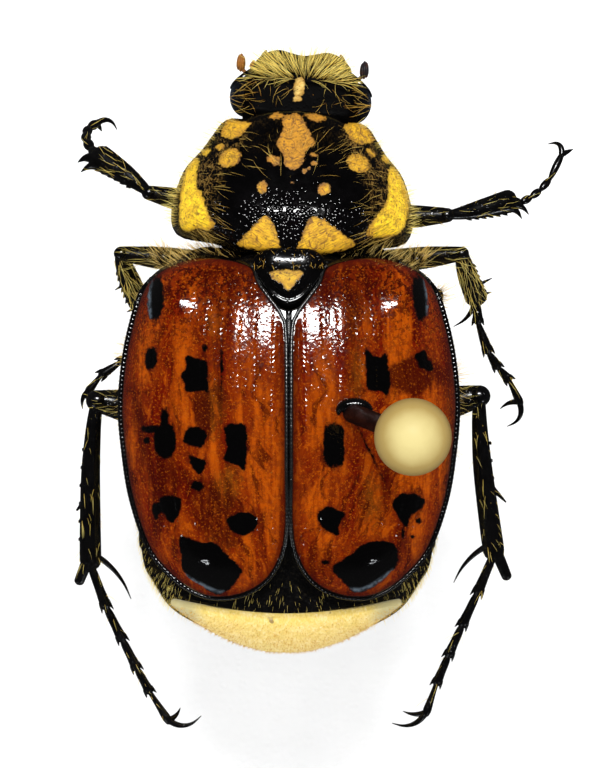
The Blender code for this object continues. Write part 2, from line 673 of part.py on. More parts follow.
def build():
    """Makes every part, then cuts each clear of its neighbours while those are still whole."""
    clear_scene()
    body = frame("beetle", (0, 0, BODY_LIFT))
    prothorax = frame("prothorax", PROTHORAX_AT, PROTHORAX_TURN, body)
    skull = frame("skull", HEAD_AT, HEAD_TURN, body)
    sides = (("right", 1), ("left", -1))

    cases = [place(wing_case(f"elytron_{word}", side), body) for word, side in sides]
    shield = place(scutellum(), body)
    chest = place(thorax(), body)
    rear = place(abdomen(), body)
    collar = place(pronotum(), prothorax)
    cranium = place(head(), skull)
    eyes = [place(eye(f"eye_{word}", side), skull) for word, side in sides]
    feelers = [place(antenna(f"antenna_{word}", side), skull) for word, side in sides]

    for name, plan in LEGS.items():
        near = [collar] if name.startswith("fore") else [chest, rear]
        combine(leg(name, plan, body), [grown(part) for part in near], "DIFFERENCE", "MANIFOLD")
    combine(chest, [grown(part) for part in (collar, shield, *cases)] + [pin_hole(body)], "DIFFERENCE")
    combine(rear, [grown(part) for part in cases], "DIFFERENCE", "MANIFOLD")
    combine(cases[0], [grown(shield), pin_hole(body)], "DIFFERENCE")
    combine(cases[1], [grown(shield)], "DIFFERENCE")
    combine(collar, [grown(part) for part in (cranium, *eyes)], "DIFFERENCE")
    combine(cranium, [grown(part) for part in (*eyes, *feelers)], "DIFFERENCE")

    pygidium(body)
    pin(body)
    ball = ellipsoid("pin_head", PIN_HEAD, [PIN_HEAD_RADIUS] * 3, "pin_head_cream", 20, 12)
    combine(place(ball, body), [pin_hole(body)], "DIFFERENCE")
    combine(stand_base(), [pin_hole(body)], "DIFFERENCE")
    to_metres()


build()
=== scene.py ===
"""The looks of a pinned flower chafer on its display block.

The head points towards +Y, the beetle's right side is at +X and the block stands on the floor. Shapes are
worked out in millimetres in the body frame, whose origin is on the midline of the wing cases, level with
their side edges, and in_row_frame puts them in the row frame, in metres. Places and sizes of markings are
read off the photograph, in its pixels.
"""

import logging
import math
from collections.abc import Callable, Sequence
from dataclasses import dataclass, field
from enum import Enum

import bmesh
import bpy
import numpy as np
from mathutils import Euler, Matrix, Vector


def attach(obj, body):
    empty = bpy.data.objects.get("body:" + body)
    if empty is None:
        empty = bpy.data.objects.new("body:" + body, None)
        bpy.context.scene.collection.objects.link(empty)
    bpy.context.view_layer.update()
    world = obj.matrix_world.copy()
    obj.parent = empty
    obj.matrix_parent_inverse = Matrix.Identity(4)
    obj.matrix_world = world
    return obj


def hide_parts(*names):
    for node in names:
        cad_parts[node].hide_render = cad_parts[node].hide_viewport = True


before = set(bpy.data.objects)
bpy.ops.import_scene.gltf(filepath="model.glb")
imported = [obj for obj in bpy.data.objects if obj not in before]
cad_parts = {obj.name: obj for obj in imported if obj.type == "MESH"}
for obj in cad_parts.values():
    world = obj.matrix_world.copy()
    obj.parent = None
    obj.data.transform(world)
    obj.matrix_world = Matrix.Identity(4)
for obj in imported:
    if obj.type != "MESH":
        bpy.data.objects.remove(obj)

log = logging.getLogger("chafer")

MM = 0.001
BODY_LIFT = 18.0
PX = 0.025
PHOTO_MIDDLE_PX = (289.0, 392.0)
SIGHT = (0.275, 0.2, 150.0)
SENSOR = 36.0
LENS = 281.25

Array = np.ndarray
Place = tuple[float, float, float]
Spot = tuple[float, float]
Colour = tuple[float, float, float]
Piece = bpy.types.Object


class Side(Enum):
    """Which side of the beetle a part is on, as a sign along X."""

    RIGHT = 1
    LEFT = -1

    @property
    def word(self) -> str:
        """The side's name, in small letters."""
        return self.name.lower()


class Slot(Enum):
    """The record's material slots that the pieces made here go by."""

    WING_CASE = "wing_case"
    BLACK_PLATE = "black_plate"
    PRONOTUM = "pronotum"
    HEAD = "head"
    PYGIDIUM = "pygidium"
    EYE = "eye"
    FEELER = "feeler"
    LEG = "leg"
    HAIR = "hair"
    PIN_ENAMEL = "pin_enamel"
    PIN_HEAD = "pin_head"


# Plane and space helpers


def ease(value: Array, low: float, high: float) -> Array:
    """A smooth climb from 0 at low to 1 at high."""
    t = np.clip((np.asarray(value, float) - low) / (high - low), 0.0, 1.0)
    return t * t * (3 - 2 * t)


@dataclass(frozen=True)
class Curve1D:
    """A smooth value along a line, through (place, value) stations in falling order of place."""

    stations: Sequence[Spot]

    def __call__(self, place: Array) -> Array:
        """The value at places along the line.

        Args:
            place: The places.

        Returns:
            One value for each place.
        """
        spots, values = np.array(self.stations, float)[::-1].T
        last = len(spots) - 1
        before, after = np.maximum(np.arange(last + 1) - 1, 0), np.minimum(np.arange(last + 1) + 1, last)
        slope = (values[after] - values[before]) / (spots[after] - spots[before])
        place = np.clip(np.asarray(place, float), spots[0], spots[-1])
        i = np.clip(np.searchsorted(spots, place, side="right") - 1, 0, last - 1)
        span = spots[i + 1] - spots[i]
        t = (place - spots[i]) / span
        climb = values[i] * (1 + 2 * t) * (1 - t) ** 2 + slope[i] * span * t * (1 - t) ** 2
        return climb + values[i + 1] * t * t * (3 - 2 * t) + slope[i + 1] * span * t * t * (t - 1)


def catmull(points: Array, t: Array, closed: bool) -> Array:
    """Points on a smooth curve.

    Args:
        points: The points that the curve passes through, one a row.
        t: Where on the curve, counted in points.
        closed: Whether the curve joins its ends.

    Returns:
        One point for each t.
    """
    points = np.asarray(points, float)
    count = len(points)
    base = np.floor(t).astype(int)
    f = (t - base)[:, None]
    near = [base + k for k in (-1, 0, 1, 2)]
    a, b, c, d = (points[i % count] if closed else points[np.clip(i, 0, count - 1)] for i in near)
    return 0.5 * (2 * b + (c - a) * f + (2 * a - 5 * b + 4 * c - d) * f**2 + (3 * b - a - 3 * c + d) * f**3)


def respaced(line: Array, shares: Array) -> Array:
    """Points at shares of the length of a fine open line.

    Args:
        line: The line's points.
        shares: The shares, from 0 to 1.

    Returns:
        One point for each share.
    """
    steps = np.linalg.norm(np.diff(line, axis=0), axis=1)
    run = np.concatenate([[0.0], np.cumsum(steps)])
    return np.stack([np.interp(shares * run[-1], run, line[:, k]) for k in range(line.shape[1])], axis=1)


def even_loop(points: Sequence[Sequence[float]], count: int) -> Array:
    """count evenly spaced points on the smooth closed curve through the points."""
    fine = catmull(np.array(points, float), np.linspace(0, len(points), 1600), True)
    return respaced(fine, np.arange(count) / count)


def mirrored_loop(half: Sequence[Spot], count: int) -> Array:
    """An even closed loop from the right-hand half of a symmetrical outline, its ends on the midline."""
    return even_loop([*half, *[(-x, y) for x, y in reversed(half) if x > 1e-6]], count)


def distance_to_line(points: Array, line: Array, closed: bool) -> Array:
    """How far plan points are from a line of short straight pieces.

    Args:
        points: The points.
        line: The line's corners.
        closed: Whether the line joins its ends.

    Returns:
        One distance for each point.
    """
    a, b = (line, np.roll(line, -1, axis=0)) if closed else (line[:-1], line[1:])
    along = b - a
    found = []
    for start in range(0, len(points), 20000):
        p = points[start : start + 20000, None, :]
        t = np.clip(((p - a) * along).sum(2) / np.maximum((along**2).sum(1), 1e-12), 0, 1)
        found.append(np.linalg.norm(p - (a + t[..., None] * along), axis=2).min(1))
    return np.concatenate(found)


def inside_loop(points: Array, loop: Array) -> Array:
    """Whether plan points are inside a closed loop.

    Args:
        points: The points.
        loop: The loop's corners.

    Returns:
        A yes or no for each point.
    """
    x, y = points[:, 0][:, None], points[:, 1][:, None]
    (x0, y0), (x1, y1) = loop.T, np.roll(loop, -1, axis=0).T
    crosses = (y0 > y) != (y1 > y)
    across = x0 + (y - y0) * (x1 - x0) / np.where(np.abs(y1 - y0) < 1e-12, 1e-12, y1 - y0)
    return (crosses & (x < across)).sum(1) % 2 == 1


def in_photo(points: Array) -> Array:
    """Where points of the body frame appear in the photograph.

    Args:
        points: The points, one a row.

    Returns:
        Their places, in the photograph's pixels.
    """
    spread = SIGHT[2] / (SIGHT[2] - points[:, 2])
    x = SIGHT[0] + (points[:, 0] - SIGHT[0]) * spread
    y = SIGHT[1] + (points[:, 1] - SIGHT[1]) * spread
    return np.stack([PHOTO_MIDDLE_PX[0] + x / PX, PHOTO_MIDDLE_PX[1] - y / PX], axis=1)


def hung(point: Place) -> Array:
    """The true place of a point of the plan, which looks nearer the middle the lower it hangs.

    Args:
        point: Its place in the plan, and its height.

    Returns:
        Its place in the body frame.
    """
    x, y, z = point
    spread = (SIGHT[2] - z) / SIGHT[2]
    return np.array([SIGHT[0] + (x - SIGHT[0]) * spread, SIGHT[1] + (y - SIGHT[1]) * spread, z])


def moved(points: Array, matrix: Matrix) -> Array:
    """Points, the last axis their coordinates, turned and shifted by matrix."""
    m = np.array(matrix)
    return points @ m[:3, :3].T + m[:3, 3]


def unit(vectors: Array) -> Array:
    """Vectors, the last axis their coordinates, at length one."""
    return vectors / np.maximum(np.linalg.norm(vectors, axis=-1, keepdims=True), 1e-12)


def in_row_frame(points: Array, at: Matrix | None) -> Array:
    """Points of the body frame, first put at a place of their own, in metres in the row frame."""
    return ((points if at is None else moved(points, at)) + np.array([0, 0, BODY_LIFT])) * MM


# Drawing meshes


def in_scene(name: str, mesh: bpy.types.Mesh) -> Piece:
    """Puts a mesh in the scene.

    Args:
        name: The new object's name.
        mesh: The mesh.

    Returns:
        The new object.
    """
    made = bpy.data.objects.new(name, mesh)
    bpy.context.scene.collection.objects.link(made)
    return made


def store(mesh: bpy.types.Mesh, name: str, values: Array) -> None:
    """Keeps a number or a vector at each point of a mesh.

    Args:
        mesh: The mesh.
        name: The name to keep them under.
        values: One number or row for each point.
    """
    vector = values.ndim == 2 and values.shape[1] == 3
    made = mesh.attributes.new(name, "FLOAT_VECTOR" if vector else "FLOAT", "POINT")
    made.data.foreach_set("vector" if vector else "value", values.astype(np.float32).ravel())


def face_outwards(mesh: bpy.types.Mesh, merge: bool = False) -> None:
    """Turns a mesh's faces outwards.

    Args:
        mesh: The mesh.
        merge: Whether to merge its double points first.
    """
    bm = bmesh.new()
    bm.from_mesh(mesh)
    if merge:
        bmesh.ops.remove_doubles(bm, verts=bm.verts, dist=1e-8)
    bmesh.ops.recalc_face_normals(bm, faces=bm.faces)
    bm.to_mesh(mesh)
    bm.free()


def mount(piece: Piece, slot: Slot, *nodes: str) -> None:
    """Puts a piece on the body.

    Args:
        piece: The piece.
        slot: Not used.
        *nodes: The CAD nodes that it stands for.
    """
    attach(piece, "root")
    if nodes:
        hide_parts(*nodes)


@dataclass
class Draft:
    """A mesh under construction: closed shells in body-frame millimetres, with values at their points."""

    name: str
    points: list[Array] = field(default_factory=list)
    faces: list[tuple[int, ...]] = field(default_factory=list)
    values: dict[str, list[Array]] = field(default_factory=dict)

    def add(self, points: Array, faces: Sequence[Sequence[int]], **values: Array) -> None:
        """Adds a shell.

        Args:
            points: Its points, one a row.
            faces: Its faces, as numbers of its own points.
            **values: Named values at its points. A shell that gives none has zeros.
        """
        start = sum(len(p) for p in self.points)
        points = np.asarray(points, float).reshape(-1, 3)
        for name in set(self.values) | set(values):
            given = values.get(name)
            if name not in self.values:
                self.values[name] = [np.zeros((start, 3 if np.ndim(given) == 2 else 1))]
            width = self.values[name][0].shape[1]
            given = np.zeros((len(points), width)) if given is None else np.asarray(given, float)
            self.values[name].append(given.reshape(len(points), width))
        self.points.append(points)
        self.faces += [tuple(start + i for i in face) for face in faces]

    def add_rings(self, rings: Array, **values: Array) -> None:
        """Adds a closed skin over rings of equal length, with a pole in the middle of each end ring.

        Args:
            rings: Points by ring, by place on the ring, by coordinate.
            **values: Named values by ring and place, with no value for the poles.
        """
        rows, around = rings.shape[:2]
        points = np.vstack([rings.reshape(-1, 3), rings[0].mean(0), rings[-1].mean(0)])
        faces = ring_faces(rows, around)
        for i in range(around):
            k = (i + 1) % around
            faces.append((rows * around, k, i))
            faces.append((rows * around + 1, (rows - 1) * around + i, (rows - 1) * around + k))
        filled = {}
        for name, value in values.items():
            flat = value.reshape(rows * around, -1)
            flat = np.vstack([flat, flat[:around].mean(0), flat[-around:].mean(0)])
            filled[name] = flat if flat.shape[1] > 1 else flat[:, 0]
        self.add(points, faces, **filled)

    def add_ellipsoid(
        self, centre: Sequence[float], radii: Sequence[float], turn: Euler | None = None, sides: int = 24,
        growth: float = 0.0, comb: Place = (0.0, -1.0, 0.0),
    ) -> None:
        """Adds an ellipsoid, with its poles along Z before its turn.

        Args:
            centre: Its middle.
            radii: Its three radii.
            turn: Its turn.
            sides: How many points go round it.
            growth: How thickly hair grows on it.
            comb: The lie of that hair.
        """
        rows = max(sides // 2, 6)
        a = np.linspace(0, math.pi, rows + 1)[1:-1][:, None]
        b = np.linspace(0, 2 * math.pi, sides, endpoint=False)[None, :]
        ball = np.stack([np.sin(a) * np.cos(b), np.sin(a) * np.sin(b), np.cos(a) + 0 * b], axis=2)
        rings = ball * np.array(radii)
        if turn is not None:
            rings = rings @ np.array(turn.to_matrix()).T
        rings = rings + np.array(centre)
        thick, lie = np.full(rings.shape[:2], growth), np.broadcast_to(unit(np.array(comb)), rings.shape)
        self.add_rings(rings, unwrap=ring_unwrap(rings), growth=thick, comb=lie)

    def finish(self, finish: "Finish", slot: Slot, *nodes: str, at: Matrix | None = None) -> Piece:
        """Makes the piece, in metres in the row frame, and puts it on the body.

        Args:
            finish: The piece's finish.
            slot: The record's slot, passed on to mount.
            *nodes: The CAD nodes that it stands for.
            at: A place and turn in the body frame.

        Returns:
            The piece.
        """
        mesh = bpy.data.meshes.new(self.name)
        mesh.from_pydata(in_row_frame(np.vstack(self.points), at).tolist(), [], self.faces)
        mesh.materials.append(finish.make())
        for name, parts in self.values.items():
            store(mesh, name, np.vstack(parts))
        face_outwards(mesh)
        mesh.shade_smooth()
        piece = in_scene(self.name, mesh)
        mount(piece, slot, *nodes)
        return piece


def ring_faces(rows: int, around: int) -> list[tuple[int, ...]]:
    """The faces between rings of points that are numbered ring by ring.

    Args:
        rows: How many rings there are.
        around: How many points a ring has.

    Returns:
        The faces.
    """
    faces = []
    for r in range(rows - 1):
        for i in range(around):
            k = (i + 1) % around
            faces.append((r * around + i, r * around + k, (r + 1) * around + k, (r + 1) * around + i))
    return faces


def swept(
    centres: Array, widths: Array, thicknesses: Array, sides: int, flat: Sequence[float] = (0, 0, 1),
) -> Array:
    """Rings of an oval tube along a line.

    Args:
        centres: The line's points.
        widths: The full width at each point.
        thicknesses: The full thickness at each point, measured towards flat.
        sides: How many points a ring has.
        flat: The direction that the thickness is measured in.

    Returns:
        The rings, for Draft.add_rings.
    """
    along = unit(np.gradient(centres, axis=0))
    side = unit(np.cross(along, np.array(flat, float)))
    top = unit(np.cross(side, along))
    a = 2 * math.pi * (np.arange(sides) + 0.5) / sides
    out = side[:, None, :] * (np.cos(a)[None, :, None] * widths[:, None, None] / 2)
    up = top[:, None, :] * (np.sin(a)[None, :, None] * thicknesses[:, None, None] / 2)
    return centres[:, None, :] + out + up


Station = tuple[Sequence[float], float, float]


def station_tube(stations: Sequence[Station], sides: int, steps: int) -> Array:
    """Rings of a smooth tube, rounded off at both ends.

    Args:
        stations: Its stations, as point, width and thickness.
        sides: How many points a ring has.
        steps: How many rings there are from one station to the next.

    Returns:
        The rings, for Draft.add_rings.
    """
    table = np.array([[*point, width, thick] for point, width, thick in stations], float)
    t = np.linspace(0, len(stations) - 1, (len(stations) - 1) * steps + 1)
    line = catmull(table, t, False)
    line[:, 3:] = np.maximum(line[:, 3:], 0.004)
    ends = []
    for end, other in ((0, 1), (-1, -2)):
        out = unit(line[end, :3] - line[other, :3])
        caps = []
        for share in (0.35, 0.7, 0.95):
            reach = math.sqrt(1 - share**2)
            caps.append([*(line[end, :3] + out * share * line[end, 4] * 0.5), *(line[end, 3:] * reach)])
        ends.append(np.array(caps))
    line = np.vstack([ends[0][::-1], line, ends[1]])
    return swept(line[:, :3], line[:, 3], line[:, 4], sides)


def ring_unwrap(rings: Array, low: float = 0.0, high: float = 1.0) -> Array:
    """An even unwrap of a skin of rings: round it along U, and from ring to ring along V.

    Args:
        rings: The rings.
        low: V at the first ring.
        high: V at the last ring.

    Returns:
        U, V and zero for each point.
    """
    rows, around = rings.shape[:2]
    u = np.broadcast_to(np.arange(around)[None, :] / around, (rows, around))
    v = np.broadcast_to(np.linspace(low, high, rows)[:, None], (rows, around))
    return np.stack([u, v, np.zeros((rows, around))], axis=2)


Height = Callable[[Array, Array], Array]


@dataclass(frozen=True)
class Plate:
    """A domed plate over a plan outline: level over most of its plan, and rounded down to its rim.

    Fields: the outline; the heights of the rim, the upper face and the lower face over the plan, as
    functions; how far in from the rim the upper and lower faces are rounded; how square they are; and
    the plan's middle.
    """

    outline: Array
    rim: Height
    top: Height
    bottom: Height
    falloff: Spot
    powers: Spot = (2.4, 2.4)
    middle: Spot = (0.0, 0.0)

    def sheet(self, rows: int, upper: bool) -> tuple[Array, Array]:
        """One face of the plate.

        Args:
            rows: How many rings it has from its middle to its rim.
            upper: Whether it is the upper face.

        Returns:
            Its rings, from the middle out, and how far each point is from the rim.
        """
        shares = np.sin(np.linspace(0, math.pi / 2, rows + 1)[1:]) ** 0.9
        centre = np.array(self.middle)
        plan = centre + shares[:, None, None] * (self.outline - centre)
        flat = plan.reshape(-1, 2)
        away = distance_to_line(flat, self.outline, True)
        away[-len(self.outline) :] = 0.0
        x, y = flat.T
        k = 0 if upper else 1
        near = 1 - np.clip(away / self.falloff[k], 0, 1)
        lift = (1 - near ** self.powers[k]) ** (1 / self.powers[k])
        rim, face = self.rim(x, y), (self.top if upper else self.bottom)(x, y)
        points = np.stack([x, y, rim + (face - rim) * lift], axis=1)
        return points.reshape(*plan.shape[:2], 3), away.reshape(plan.shape[:2])

    def rings(self, rows: int, rows_below: int) -> tuple[Array, Array]:
        """The whole plate as rings, out over its upper face and back under its lower one.

        Args:
            rows: How many rings its upper face has.
            rows_below: How many its lower face has.

        Returns:
            The rings, and how far each point is from the rim.
        """
        above, away = self.sheet(rows, True)
        below, away_below = self.sheet(rows_below, False)
        return np.concatenate([above, below[-2::-1]]), np.concatenate([away, away_below[-2::-1]])


# Markings


@dataclass(frozen=True)
class Blot:
    """A marking with an oval or squarish outline: its middle and size in the photograph, its turn and how
    square it is."""

    at: Spot
    size: Spot
    turn: float = 0.0
    power: float = 2.0

    def away(self, places: Array) -> Array:
        """How far outside the blot places are.

        Args:
            places: Places in the photograph.

        Returns:
            A distance in millimetres for each, with minus inside.
        """
        c, s = math.cos(math.radians(self.turn)), math.sin(math.radians(self.turn))
        dx, dy = places[:, 0] - self.at[0], places[:, 1] - self.at[1]
        a, b = self.size[0] / 2, self.size[1] / 2
        u, v = np.abs(c * dx + s * dy) / a, np.abs(-s * dx + c * dy) / b
        reach = (u**self.power + v**self.power) ** (1 / self.power)
        return (reach - 1) * min(a, b) * PX


@dataclass(frozen=True)
class Patch:
    """A marking with a drawn outline: the corners of a smooth loop in the photograph."""

    corners: tuple[Spot, ...]

    def away(self, places: Array) -> Array:
        """How far outside the patch places are.

        Args:
            places: Places in the photograph.

        Returns:
            A distance in millimetres for each, with minus inside.
        """
        loop = even_loop(self.corners, 72)
        found = distance_to_line(places, loop, True)
        return np.where(inside_loop(places, loop), -found, found) * PX


def marked(places: Array, markings: Sequence[Blot | Patch]) -> Array:
    """How far each photograph place is from the nearest of the markings, with minus inside one."""
    return np.minimum.reduce([marking.away(places) for marking in markings])


# Node trees

Socket = bpy.types.NodeSocket


@dataclass(frozen=True)
class Wire:
    """A value that comes out of a node, on which sums can be done."""

    bench: "Bench"
    socket: Socket

    def __add__(self, other: object) -> "Wire":
        """This value and another, added."""
        return self.bench.maths("ADD", self, other)

    def __sub__(self, other: object) -> "Wire":
        """This value less another."""
        return self.bench.maths("SUBTRACT", self, other)

    def __rsub__(self, other: object) -> "Wire":
        """Another value less this one."""
        return self.bench.maths("SUBTRACT", other, self)

    def __mul__(self, other: object) -> "Wire":
        """This value times another."""
        return self.bench.maths("MULTIPLY", self, other)

    def size(self) -> "Wire":
        """This value without its sign."""
        return self.bench.maths("ABSOLUTE", self)


@dataclass(frozen=True)
class Bench:
    """A node tree under construction, with short calls for its nodes."""

    tree: bpy.types.NodeTree

    def feed(self, socket: Socket, value: object) -> None:
        """Fills an input.

        Args:
            socket: The input.
            value: A wire to link into it, or the input's own value.
        """
        if isinstance(value, Wire):
            self.tree.links.new(value.socket, socket)
        elif isinstance(value, tuple) and len(value) == 3 and socket.type == "RGBA":
            socket.default_value = (*value, 1.0)
        else:
            socket.default_value = value

    def node(self, kind: str, inputs: dict | None = None, **settings: object) -> bpy.types.Node:
        """Adds a node.

        Args:
            kind: Its type.
            inputs: Values or wires for its inputs, by name or number.
            **settings: Its settings.

        Returns:
            The node.
        """
        made = self.tree.nodes.new(kind)
        for name, value in settings.items():
            setattr(made, name, value)
        for key, value in (inputs or {}).items():
            self.feed(made.inputs[key], value)
        return made

    def out(self, kind: str, inputs: dict | None = None, port: int | str = 0, **settings: object) -> Wire:
        """Adds a node, as node does, and gives what comes out at one port."""
        return Wire(self, self.node(kind, inputs, **settings).outputs[port])

    def ports(self, made: bpy.types.Node) -> dict[str, Wire]:
        """All that comes out of a node, by name."""
        return {socket.name: Wire(self, socket) for socket in made.outputs}

    def maths(self, operation: str, a: object, b: object = 0.0) -> Wire:
        """A sum of two numbers."""
        return self.out("ShaderNodeMath", {0: a, 1: b}, operation=operation)

    def vector(self, operation: str, a: object, b: object = (0.0, 0.0, 0.0)) -> Wire:
        """A sum of two vectors.

        Args:
            operation: The sum.
            a: The first vector.
            b: The second, or the number for SCALE.

        Returns:
            The vector that comes out.
        """
        made = self.node("ShaderNodeVectorMath", {0: a}, operation=operation)
        self.feed(made.inputs["Scale" if operation == "SCALE" else 1], b)
        return Wire(self, made.outputs["Vector"])

    def between(
        self, value: object, low: object, high: object, start: object = 0.0, end: object = 1.0,
    ) -> Wire:
        """A smooth step of value, from start at low to end at high."""
        given = {"Value": value, "From Min": low, "From Max": high, "To Min": start, "To Max": end}
        return self.out("ShaderNodeMapRange", given, "Result", interpolation_type="SMOOTHSTEP")

    def noise(self, place: Wire, scale: object, detail: float, rough: float, warp: float = 0.0) -> Wire:
        """A cloudy value about one half."""
        given = {"Vector": place, "Scale": scale, "Detail": detail, "Roughness": rough, "Distortion": warp}
        return self.out("ShaderNodeTexNoise", given)

    def turned(self, place: Wire, angle: float) -> Wire:
        """A place turned about Z."""
        return self.out("ShaderNodeVectorRotate", {"Vector": place, "Angle": angle}, rotation_type="Z_AXIS")

    def mix(self, share: object, a: object, b: object, blend: str = "MIX") -> Wire:
        """A mix of two colours."""
        settings = {"data_type": "RGBA", "blend_type": blend, "clamp_factor": True}
        return self.out("ShaderNodeMix", {0: share, 6: a, 7: b}, 2, **settings)

    def layered(self, base: Wire, *layers: tuple[object, Colour]) -> Wire:
        """A base with colours laid over it in turn.

        Args:
            base: The base's colour.
            *layers: For each layer, how much it covers and its colour.

        Returns:
            The colour.
        """
        for share, colour in layers:
            base = self.mix(share, base, colour)
        return base

    def ramp(self, value: Wire, *stops: tuple[float, Colour]) -> Wire:
        """A colour read off stops.

        Args:
            value: The value to read it by.
            *stops: Values and their colours.

        Returns:
            The colour.
        """
        made = self.node("ShaderNodeValToRGB", {"Fac": value})
        band = made.color_ramp
        while len(band.elements) < len(stops):
            band.elements.new(1.0)
        for element, (at, colour) in zip(band.elements, stops):
            element.position = at
            element.color = (*colour, 1.0)
        return Wire(self, made.outputs["Color"])

    def value_of(self, name: str) -> Wire:
        """The piece's own value of that name."""
        return self.out("ShaderNodeAttribute", None, "Fac", attribute_type="GEOMETRY", attribute_name=name)

    def split(self, place: Wire, axis: int) -> Wire:
        """One coordinate of a place."""
        return self.out("ShaderNodeSeparateXYZ", {0: place}, axis)

    def stretched(self, place: Wire, x: object, y: object, z: float) -> Wire:
        """A place with its coordinates multiplied by x, y and z."""
        return self.vector("MULTIPLY", place, self.out("ShaderNodeCombineXYZ", {0: x, 1: y, 2: z}))

    def dressed(self, shape: Wire, finish: Wire) -> Wire:
        """Geometry with its instances made real and its material set."""
        real = self.out("GeometryNodeRealizeInstances", {"Geometry": shape})
        return self.out("GeometryNodeSetMaterial", {"Geometry": real, "Material": finish})


Read = dict[str, Wire]


@dataclass(frozen=True)
class Recipe:
    """A node group that is made on its first use.

    Fields: its name; its inputs, each with its usual number or the kind of its socket; its outputs,
    which carry numbers, but for one named Geometry; the function that wires what comes in to what goes
    out; and the kind of tree.
    """

    name: str
    inputs: dict[str, float | str]
    outputs: tuple[str, ...]
    wiring: Callable[[Bench, Read], tuple[Wire, ...]]
    kind: str = "ShaderNodeTree"

    def tree(self) -> bpy.types.NodeTree:
        """Makes the group on its first use.

        Returns:
            The group.
        """
        tree = bpy.data.node_groups.get(self.name)
        if tree:
            return tree
        tree = bpy.data.node_groups.new(self.name, self.kind)
        for title, usual in self.inputs.items():
            kind = usual if isinstance(usual, str) else "Float"
            socket = tree.interface.new_socket(name=title, in_out="INPUT", socket_type=f"NodeSocket{kind}")
            if kind == "Float":
                socket.default_value = usual
        for title in self.outputs:
            kind = "Geometry" if title == "Geometry" else "Float"
            tree.interface.new_socket(name=title, in_out="OUTPUT", socket_type=f"NodeSocket{kind}")
        bench = Bench(tree)
        made = self.wiring(bench, bench.ports(bench.node("NodeGroupInput")))
        bench.node("NodeGroupOutput", dict(zip(self.outputs, made)))
        return tree

    def on(self, bench: Bench, place: Wire, **values: object) -> Read:
        """Places the group in a finish.

        Args:
            bench: The finish's tree.
            place: The place on the object, in millimetres.
            **values: Values or wires for its other inputs, named with _ for a space.

        Returns:
            What comes out of it, by name.
        """
        given = {"Place": place} | {name.replace("_", " "): value for name, value in values.items()}
        return bench.ports(bench.node("ShaderNodeGroup", given, node_tree=self.tree()))


def wire_pits(bench: Bench, read: Read) -> tuple[Wire, ...]:
    """Wires round pits scattered over a cuticle.

    Args:
        bench: The group's tree.
        read: What comes in.

    Returns:
        A mask of the pits, a height where bowls meet edge to edge, and a number for each bowl.
    """
    given = {"Vector": read["Place"], "Scale": read["Pits per mm"], "Randomness": read["Scatter"]}
    cells = bench.ports(bench.node("ShaderNodeTexVoronoi", given))
    away = cells["Distance"]
    own = bench.out("ShaderNodeSeparateColor", {0: cells["Color"]})
    pit = bench.between(away, 0.0, read["Pit size"] * (own * 0.35 + 0.7), 1.0, 0.0)
    return pit, bench.maths("MINIMUM", away * away, 0.4) - 0.4, own


def wire_ragged_edge(bench: Bench, read: Read) -> tuple[Wire, ...]:
    """Wires a marking with an uneven edge, from the distance to its outline.

    Args:
        bench: The group's tree.
        read: What comes in.

    Returns:
        A mask of the marking.
    """
    rough = bench.noise(read["Place"], read["Grain"], 3.0, 0.6) - 0.5
    away = read["Away"] + rough * read["Raggedness"]
    return (bench.between(away, read["Softness"] * -1.0, read["Softness"], 1.0, 0.0),)


def wire_streaks(bench: Bench, read: Read) -> tuple[Wire, ...]:
    """Wires clouds drawn out along the body.

    Args:
        bench: The group's tree.
        read: What comes in.

    Returns:
        Broad streaks and a fine mottle.
    """
    drawn = bench.stretched(read["Place"], read["Across"], read["Along"], 0.3)
    return bench.noise(drawn, 1.0, 5.0, 0.6, 0.6), bench.noise(read["Place"], read["Fine"], 6.0, 0.7)


def wire_nap(bench: Bench, read: Read) -> tuple[Wire, ...]:
    """Wires a short matted pile.

    Args:
        bench: The group's tree.
        read: What comes in.

    Returns:
        A value across its fibres, and its height.
    """
    drawn = bench.stretched(read["Place"], 1.0, read["Drawn out"], 1.0)
    fibre = bench.noise(drawn, read["Fibres per mm"], 3.0, 0.6, 0.8)
    return fibre * (bench.noise(read["Place"], 4.5, 3.0, 0.6) + 0.5), fibre


PITS = Recipe(
    "pits",
    {"Place": "Vector", "Pits per mm": 8.0, "Pit size": 0.5, "Scatter": 0.9},
    ("Pit", "Bowls", "Own"), wire_pits,
)
RAGGED = Recipe(
    "ragged edge",
    {"Place": "Vector", "Away": 0.0, "Grain": 9.0, "Raggedness": 0.08, "Softness": 0.02},
    ("Mask",), wire_ragged_edge,
)
STREAKS = Recipe(
    "streaks",
    {"Place": "Vector", "Across": 2.2, "Along": 0.35, "Fine": 7.0},
    ("Streak", "Mottle"), wire_streaks,
)
NAP = Recipe(
    "short nap",
    {"Place": "Vector", "Fibres per mm": 22.0, "Drawn out": 0.25},
    ("Fibre", "Height"), wire_nap,
)


# Finishes


@dataclass(frozen=True)
class Look:
    """What a finish gives its shader: a colour, a roughness, and a relief of some depth in millimetres."""

    colour: Wire
    roughness: Wire | float
    relief: Wire | float = 0.0
    depth: float = 0.0
    strength: float = 1.0


def toned(colour: Colour, gain: float) -> Colour:
    """A colour made lighter or darker."""
    return tuple(gain * c for c in colour)


